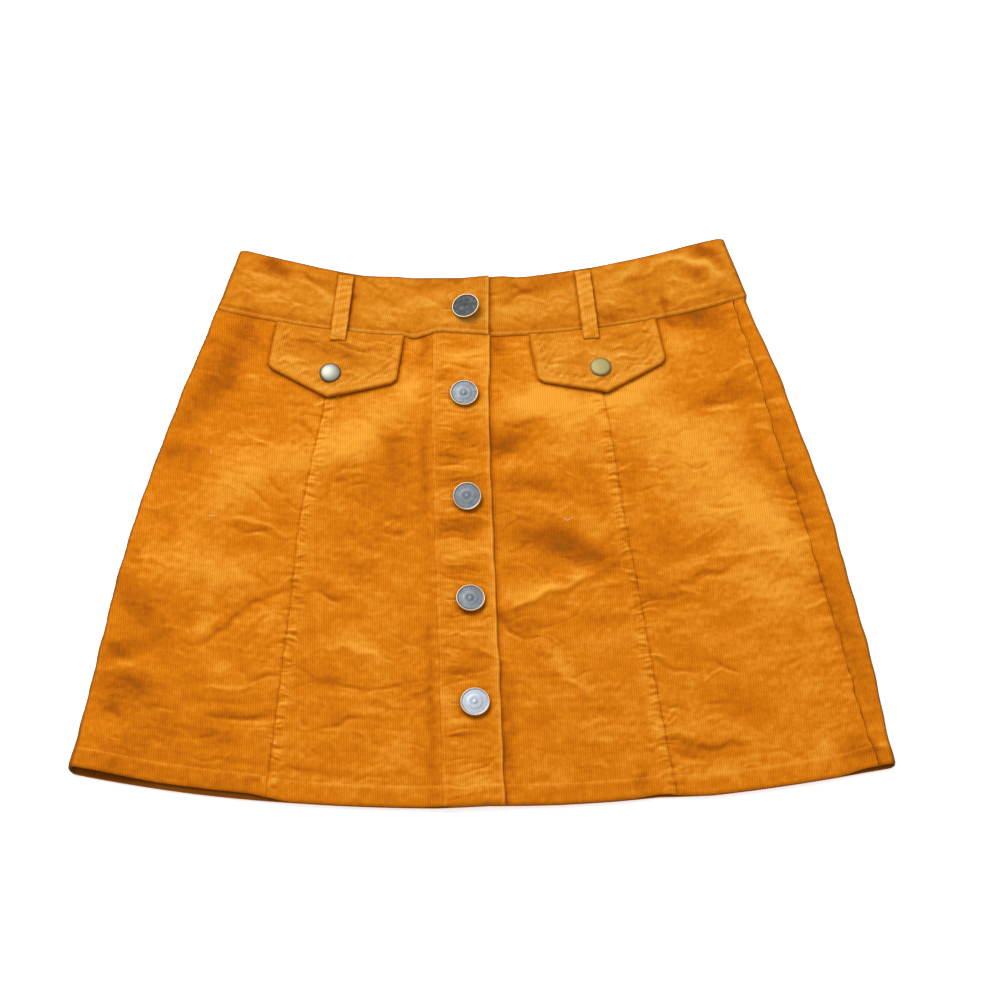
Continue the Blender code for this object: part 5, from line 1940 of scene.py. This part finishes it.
def add_stitches(shell, path, stitch=SEAM_STITCH):
    """Lay stitches along a path of points, each a short rounded bar sunk at its ends."""
    path = np.asarray(path, dtype=float)
    steps = np.linalg.norm(np.diff(path, axis=0), axis=1)
    place = np.concatenate([[0.0], np.cumsum(steps)])
    pitch = stitch.length + stitch.gap
    count = int((place[-1] - stitch.length) / pitch) + 1
    if count < 1:
        return
    starts = 0.5 * (place[-1] - count * pitch + stitch.gap) + pitch * np.arange(count)
    spots = starts[:, None] + stitch.length * STITCH_SHARES
    centre = np.stack([np.interp(spots, place, path[:, k]) for k in range(3)], axis=-1)
    run = centre[:, -1] - centre[:, 0]
    run = run / np.linalg.norm(run, axis=1, keepdims=True)
    side = np.stack([-run[:, 1], run[:, 0], np.zeros(count)], axis=-1)
    side = side / np.linalg.norm(side, axis=1, keepdims=True)
    centre[:, :, 2] -= stitch.radius * (1.0 - STITCH_GIRTHS) * STITCH_SINK
    angles = 2.0 * pi * np.arange(STITCH_SIDES) / STITCH_SIDES + 0.5 * pi
    for k in range(count):
        first = shell.add(centre[k, 0], 0.0, 0.0, 0.0)
        rings = []
        for j in (1, 2, 3):
            girth = stitch.radius * STITCH_GIRTHS[j]
            ring = [centre[k, j] + girth * (side[k] * cos(a) + np.array([0, 0, sin(a)])) for a in angles]
            rings.append(shell.add(ring, 0.0, 0.0, 0.0))
        last = shell.add(centre[k, 4], 0.0, 0.0, 0.0)
        for m in range(STITCH_SIDES):
            n = (m + 1) % STITCH_SIDES
            shell.faces.append([first, rings[0] + m, rings[0] + n])
            for near, far in zip(rings, rings[1:]):
                shell.faces.append([near + m, far + m, far + n, near + n])
            shell.faces.append([rings[-1] + m, last, rings[-1] + n])


def front_path(x, height, top, rise=0.02):
    """Points on the front's outer face."""
    x, height = np.broadcast_arrays(np.asarray(x, dtype=float), np.asarray(height, dtype=float))
    y = plan_y(x, height) + front_draw(x, height)
    return np.stack([plan_x(x, height), y, top(x, height) + rise], axis=-1)


def back_path(start, end, height):
    """Points on the back's outer face, which lies on the floor."""
    x = np.arange(start, end, 1.0)
    height = np.full(x.shape, height)
    level = np.full(x.shape, 1.15 * BACK_STITCH.radius)
    return np.stack([plan_x(x, height), plan_y(x, height), level], axis=-1)


def build_panel_stitching(material):
    """Hem, princess seam and placket stitching of the front."""
    shell = Shell()
    middle = section("button_line", HEM_TURN)
    half = section("half_width", HEM_TURN)
    seam = section("seam_left", HEM_TURN)
    runs = [(-half + 6.0, seam - 1.0, front_top),
            (seam + 1.0, middle - PLACKET_LEFT - 1.0, centre_left_top),
            (middle - PLACKET_LEFT + 1.5, middle + PLACKET_RIGHT - 1.5, placket_top),
            (middle + PLACKET_RIGHT + 1.5, half - 5.0, front_top)]
    for start, end, top in runs:
        add_stitches(shell, front_path(np.arange(start, end, 1.0), HEM_TURN, top, -0.04))
    h = np.arange(1.0, WAIST_SEAM - 2.0, 1.0)
    add_stitches(shell, front_path(section("seam_left", h) + PRINCESS_STITCH, h, centre_left_top, -0.08))
    add_stitches(shell, front_path(section("seam_right", h) - PRINCESS_STITCH, h, front_top, -0.08))
    add_stitches(shell, back_path(-half + 8.0, half - 7.0, HEM_TURN), BACK_STITCH)
    h = np.arange(1.0, WAIST_SEAM - 1.0, 1.0)
    for offset in (1.6 - PLACKET_LEFT, PLACKET_RIGHT - 2.6):
        add_stitches(shell, front_path(section("button_line", h) + offset, h, placket_top))
    return shell.build("stitching_front", material)


def lifted_band_top(x, height):
    """Outer face of the waistband's buttoned end."""
    return band_top(x, height) + band_lift(x)


def build_band_stitching(material):
    """Edge stitching of the waistband on the front, and down its buttoned end."""
    shell = Shell()
    middle = section("button_line", WAIST_SEAM)
    end = middle + BAND_OVERLAP
    left = np.arange(-186.0, end - 1.5, 1.0)
    add_stitches(shell, front_path(left, band_foot(left) + 2.0, lifted_band_top))
    right = np.arange(middle + PLACKET_RIGHT + 1.5, 186.0, 1.0)
    add_stitches(shell, front_path(right, WAIST_SEAM + 2.0, band_top))
    h = np.arange(WAIST_SEAM + 4.0, BAND_TOP - 1.5, 1.0)
    add_stitches(shell, front_path(end - 2.4, h, lifted_band_top))
    add_stitches(shell, back_path(-184.0, 184.5, WAIST_SEAM + 2.0), BACK_STITCH)
    return shell.build("stitching_waistband", material)


def build_flap_stitching(flap, material):
    """Stitching inside the flap's free edges."""
    shell = Shell()
    half = 0.5 * flap.width - FLAP_STITCH
    slope = flap_slope(flap)
    low = flap.point_depth - FLAP_STITCH * hypot(1.0, slope)

    def points(along, down):
        """Points on the flap's outer face."""
        x, y = flap_plan(flap, along, down)
        return np.stack([x, y, flap_top(flap, along, down) + 0.12], axis=-1)

    down = np.arange(4.0, low - slope * half, 1.0)
    along = np.arange(half, 0.5, -1.0)
    for side in (-1.0, 1.0):
        add_stitches(shell, points(np.full(down.shape, side * half), down))
        add_stitches(shell, points(side * along, low - slope * along))
    return shell.build("stitching_" + flap.name, material)


def build_loop_tacks(loop, material):
    """Bar tacks across the ends of a belt loop."""
    shell = Shell()
    length, direction = loop_line(loop)
    wide = np.arange(-4.6, 4.7, 0.5)
    for tack in LOOP_TACKS:
        x, y = loop_plan(loop, direction, tack, wide)
        z = np.full(x.shape, loop_base(tack / length) + LOOP_CLOTH - 0.1)
        add_stitches(shell, np.stack([x, y, z], axis=-1), TACK_STITCH)
    return shell.build("tacks_" + loop.name, material)


def build_buttonholes(material):
    """Close thread along both lips of each buttonhole."""
    shell = Shell()
    for button in BUTTONS:
        at = button_height(button)
        middle = float(section("button_line", at)) - HOLE_SHIFT
        x = np.arange(middle - 0.5 * HOLE_LENGTH, middle + 0.5 * HOLE_LENGTH, 0.5)
        top = lifted_band_top if at > WAIST_SEAM else placket_top
        for offset in (-0.75, 0.75):
            add_stitches(shell, front_path(x, at + offset, top, 0.0), HOLE_STITCH)
    return shell.build("stitching_buttonholes", material)


# Loose fibres on the cloth: plan x and height of each end and of its bend
LINT = [[(56.0, 209.6), (59.0, 206.6), (63.4, 209.4)],
        [(-192.0, 198.4), (-189.0, 198.0), (-186.0, 199.2)],
        [(-191.3, 247.6), (-191.0, 246.0), (-190.6, 244.6)]]


def build_lint(material):
    """A few loose fibres lying on the front."""
    shell = Shell()
    spots = np.linspace(0.0, 2.0, 9)
    for fibre in LINT:
        x, height = (np.interp(spots, (0.0, 1.0, 2.0), values) for values in zip(*fibre))
        add_stitches(shell, front_path(x, height, front_top, 0.3), LINT_STITCH)
    return shell.build("lint", material)


# ---------------------------------------------------------------- buttons and snaps


# Rings of a button's outline, from the middle of its face to the middle of its underside, and
# which of them are the rim, painted with a reflection of the cloth
Ring = namedtuple("Ring", "radius height")
BUTTON_RINGS = [
    Ring(0.0, 2.16), Ring(0.7, 2.13), Ring(1.2, 2.02), Ring(1.7, 1.94), Ring(2.4, 1.95),
    Ring(3.6, 1.96), Ring(5.0, 1.95), Ring(5.2, 1.91), Ring(6.4, 1.9), Ring(7.4, 1.88),
    Ring(8.3, 1.85), Ring(8.7, 1.86), Ring(9.05, 2.12), Ring(9.35, 2.36), Ring(9.65, 2.34),
    Ring(9.88, 2.1), Ring(BUTTON_RADIUS, 1.7), Ring(9.85, 1.1), Ring(9.4, 0.75), Ring(5.0, 0.6),
    Ring(4.0, 0.4), Ring(3.8, -0.3), Ring(0.0, -0.3),
]
BUTTON_RIM = range(13, 16)
BUTTON_SEGMENTS = 64

# Fine rays round the face: where they start and end, their rise, and their tone for each
# millimetre of it
FLUTE_START = 3.0
FLUTE_END = 8.5
FLUTE_RISE = 0.07
RAY_TONE = 2.6

# Tone of the metal: the height of a ring that has the button's own tone, how much each millimetre
# above it adds, and the darkest tone
EVEN_HEIGHT = 1.9
TONE_OF_HEIGHT = 0.4
DARKEST_METAL = -0.14

# Cap of a press stud: height of its rim's outer bead, angles of its dome's rings, and segments
CAP_BASE = 0.7
CAP_ANGLES = range(8, 80, 8)
CAP_EDGE_ANGLE = 76.0
CAP_SEGMENTS = 48


def add_turned(shell, rings, tones, edges, segments=BUTTON_SEGMENTS, flute=0.0):
    """Spin rings round Z; tones run from 0 in a hollow to 1 where the metal is rubbed.

    flute is the rise of the fine rays between the middle of the face and its rim.
    """
    angles = 2.0 * pi * np.arange(segments) / segments
    before = None
    front = True
    for ring, tone, edge in zip(rings, tones, edges):
        if ring.radius == 0.0:
            first = shell.add([(0.0, 0.0, ring.height)], 0.0, tone, edge)
            now = [first] * segments
        else:
            front = front and ring.radius < FLUTE_END
            rays = np.zeros(segments)
            if front and ring.radius > FLUTE_START:
                rays[::2] = flute
            points = np.stack([ring.radius * np.cos(angles), ring.radius * np.sin(angles),
                               ring.height + rays], axis=-1)
            first = shell.add(points, 0.0, tone + RAY_TONE * rays, edge)
            now = list(range(first, first + segments))
        if before:
            for k in range(segments):
                n = (k + 1) % segments
                shell.faces.append(list(dict.fromkeys([before[k], before[n], now[n], now[k]])))
        before = now


def place_turned(piece, place, lean_x, lean_y):
    """Bake a lean and a place, in millimetres of the plan, into a piece made round the origin."""
    turn = Euler((radians(lean_x), radians(lean_y), 0.0)).to_matrix().to_4x4()
    spot = Vector((place[0] - ORIGIN[0], place[1] - ORIGIN[1], place[2])) * MM
    shift = Vector(ORIGIN) * MM
    piece.data.transform(Matrix.Translation(spot) @ turn @ Matrix.Translation(shift))


def ring_tones(rings, base):
    """Hollow rings are dark and raised ones are rubbed bright."""
    return [min(max(base + TONE_OF_HEIGHT * (ring.height - EVEN_HEIGHT), DARKEST_METAL), 1.0)
            for ring in rings]


def build_button(number, button, material):
    """Shank button with a raised rim, fine rays and a small boss in the middle."""
    shell = Shell()
    edges = [1.0 if k in BUTTON_RIM else 0.0 for k in range(len(BUTTON_RINGS))]
    add_turned(shell, BUTTON_RINGS, ring_tones(BUTTON_RINGS, button.tone), edges, flute=FLUTE_RISE)
    height = button_height(button)
    x = float(section("button_line", height))
    if height > WAIST_SEAM:
        cloth = BAND_FRONT + LAYER_GAP + BAND_CLOTH
    else:
        cloth = float(front_form(x, height)) + LAYER_GAP + PLACKET_CLOTH
    piece = shell.build(f"metal_button_{number}", material)
    place_turned(piece, (x, button.y, cloth + button.standoff), button.lean_x, button.lean_y)
    return piece


def build_snap(snap, flap, material):
    """Press-stud cap on a flap: a low dome inside a thin rim."""
    shell = Shell()
    rings = [Ring(0.0, CAP_BASE + snap.dome)]
    for angle in CAP_ANGLES:
        a = radians(angle)
        rings.append(Ring(0.92 * snap.radius * sin(a) / sin(radians(CAP_EDGE_ANGLE)),
                          CAP_BASE + snap.dome * (cos(a) - 0.2) / 0.8))
    caps = len(rings)
    rings += [Ring(share * snap.radius, height) for share, height in
              ((0.93, 0.6), (0.955, 0.66), (0.985, 0.55), (1.0, 0.25), (1.0, 0.0), (0.0, 0.0))]
    tones = [0.85] * (caps - 3) + [0.75, 0.6, 0.35] + [0.0, 0.0, 0.05, 0.0, 0.0, 0.0]
    edges = [0.0] * (caps - 1) + [0.5] + [1.0] * (len(rings) - caps)
    add_turned(shell, rings, tones, edges, CAP_SEGMENTS)
    angles = np.linspace(0.0, 2.0 * pi, 25)
    along, down = place_in_flap(flap, snap.x + snap.radius * np.cos(angles),
                                snap.y + snap.radius * np.sin(angles))
    highest = float(flap_top(flap, along, down).max())
    piece = shell.build("metal_" + snap.name, material)
    place_turned(piece, (snap.x, snap.y, highest - 0.15), snap.lean_x, 0.0)
    return piece


# A cloth piece as it was cut, of what shows: width and length in millimetres, hem included, area
# in square metres, and what it lies on; no piece is given one here
Sheet = namedtuple("Sheet", "name width length area rests_on")


def main():
    """Build every piece, hand each to the frame, and add the stage and the camera."""
    corduroy = corduroy_material("corduroy", MIDDLE_NAP, LIGHT_NAP_AND_PAINTED_LIGHT)
    band_corduroy = corduroy_material("corduroy_band", BAND_MIDDLE_NAP, BAND_LIGHT_NAP_AND_PAINTED_LIGHT)
    thread = speckled_material("thread", 0.8, 420.0, 0.15, DARK_THREAD, LIGHT_THREAD)
    metals = {name: metal_material(name, metal) for name, metal in METALS.items()}
    pieces = build_front_panels(corduroy)
    pieces["back_panel"] = build_back_panel(corduroy)
    pieces["placket"] = build_placket(corduroy)
    pieces["waistband"] = build_waistband(band_corduroy)
    for flap in FLAPS:
        pieces[flap.name] = build_flap(flap, band_corduroy)
    for loop in BELT_LOOPS:
        pieces[loop.name] = build_belt_loop(loop, band_corduroy)
    slots = {name: "corduroy" for name in pieces}
    for number, button in enumerate(BUTTONS, start=1):
        name = f"button_{number}"
        pieces[name] = build_button(number, button, metals["pewter"])
        slots[name] = "pewter"
    for snap, flap in zip(SNAPS, FLAPS):
        pieces[snap.name] = build_snap(snap, flap, metals[snap.material])
        slots[snap.name] = snap.material
    for name, piece in pieces.items():
        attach(piece, "root")
        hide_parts(name)
    lint = speckled_material("lint", 0.9, 900.0, 0.2, DARK_LINT, LIGHT_LINT)
    added = [build_panel_stitching(thread), build_band_stitching(thread), build_buttonholes(thread),
             build_lint(lint)]
    added += [build_flap_stitching(flap, thread) for flap in FLAPS]
    added += [build_loop_tacks(loop, thread) for loop in BELT_LOOPS]
    for piece in added:
        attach(piece, "root")
    add_floor()
    add_lights()
    add_camera()


# Floor: half its side, in metres, its depth below the skirt, and its white with a faint glow
FLOOR_REACH = 6.0
FLOOR_Z = -0.0006
FLOOR_WHITE = (0.93, 0.93, 0.93, 1.0)
FLOOR_GLOW = (0.94, 0.99, 1.0, 1.0)

# Key light: place, size and power; and the brightness all round
KEY_PLACE = (-0.9, 1.5, 2.2)
KEY_SIZE = 1.5
KEY_POWER = 70.0
SKY_WHITE = (1.0, 1.0, 1.0, 1.0)
SKY_STRENGTH = 0.75


def new_object(name, data):
    """An object in the scene."""
    made = bpy.data.objects.new(name, data)
    bpy.context.scene.collection.objects.link(made)
    return made


def add_floor():
    """White floor under the skirt."""
    r = FLOOR_REACH
    mesh = bpy.data.meshes.new("floor")
    corners = [(-r, -r, FLOOR_Z), (r, -r, FLOOR_Z), (r, r, FLOOR_Z), (-r, r, FLOOR_Z)]
    mesh.from_pydata(corners, [], [(0, 1, 2, 3)])
    material, _, shader = new_material("floor_white", 0.9)
    set_inputs(shader, {"Base Color": FLOOR_WHITE, "Emission Color": FLOOR_GLOW,
                        "Emission Strength": 0.45})
    mesh.materials.append(material)
    new_object("floor", mesh)


def add_lights():
    """Even light all round, and a soft key light from behind the waist."""
    world = bpy.data.worlds.new("studio")
    world.use_nodes = True
    set_inputs(world.node_tree.nodes["Background"], {"Color": SKY_WHITE, "Strength": SKY_STRENGTH})
    bpy.context.scene.world = world
    light = bpy.data.lights.new("key", "AREA")
    light.shape = "SQUARE"
    light.size = KEY_SIZE
    light.energy = KEY_POWER
    lamp = new_object("key", light)
    lamp.location = KEY_PLACE
    lamp.rotation_euler = Vector(KEY_PLACE).to_track_quat("Z", "Y").to_euler()


def add_camera():
    """The scene's camera, which looks down on the skirt from its hem's side, and plain colours."""
    data = bpy.data.cameras.new("camera")
    data.lens = CAMERA_LENS
    data.sensor_width = SENSOR
    camera = new_object("camera", data)
    aim = Vector((CAMERA_AIM[0] - ORIGIN[0], CAMERA_AIM[1] - ORIGIN[1], 0.0)) * MM
    tilt = radians(CAMERA_TILT)
    camera.location = aim + CAMERA_DISTANCE * Vector((0.0, -sin(tilt), cos(tilt)))
    camera.rotation_euler = Euler((tilt, 0.0, 0.0))
    bpy.context.scene.camera = camera
    bpy.context.scene.view_settings.view_transform = "Standard"


main()
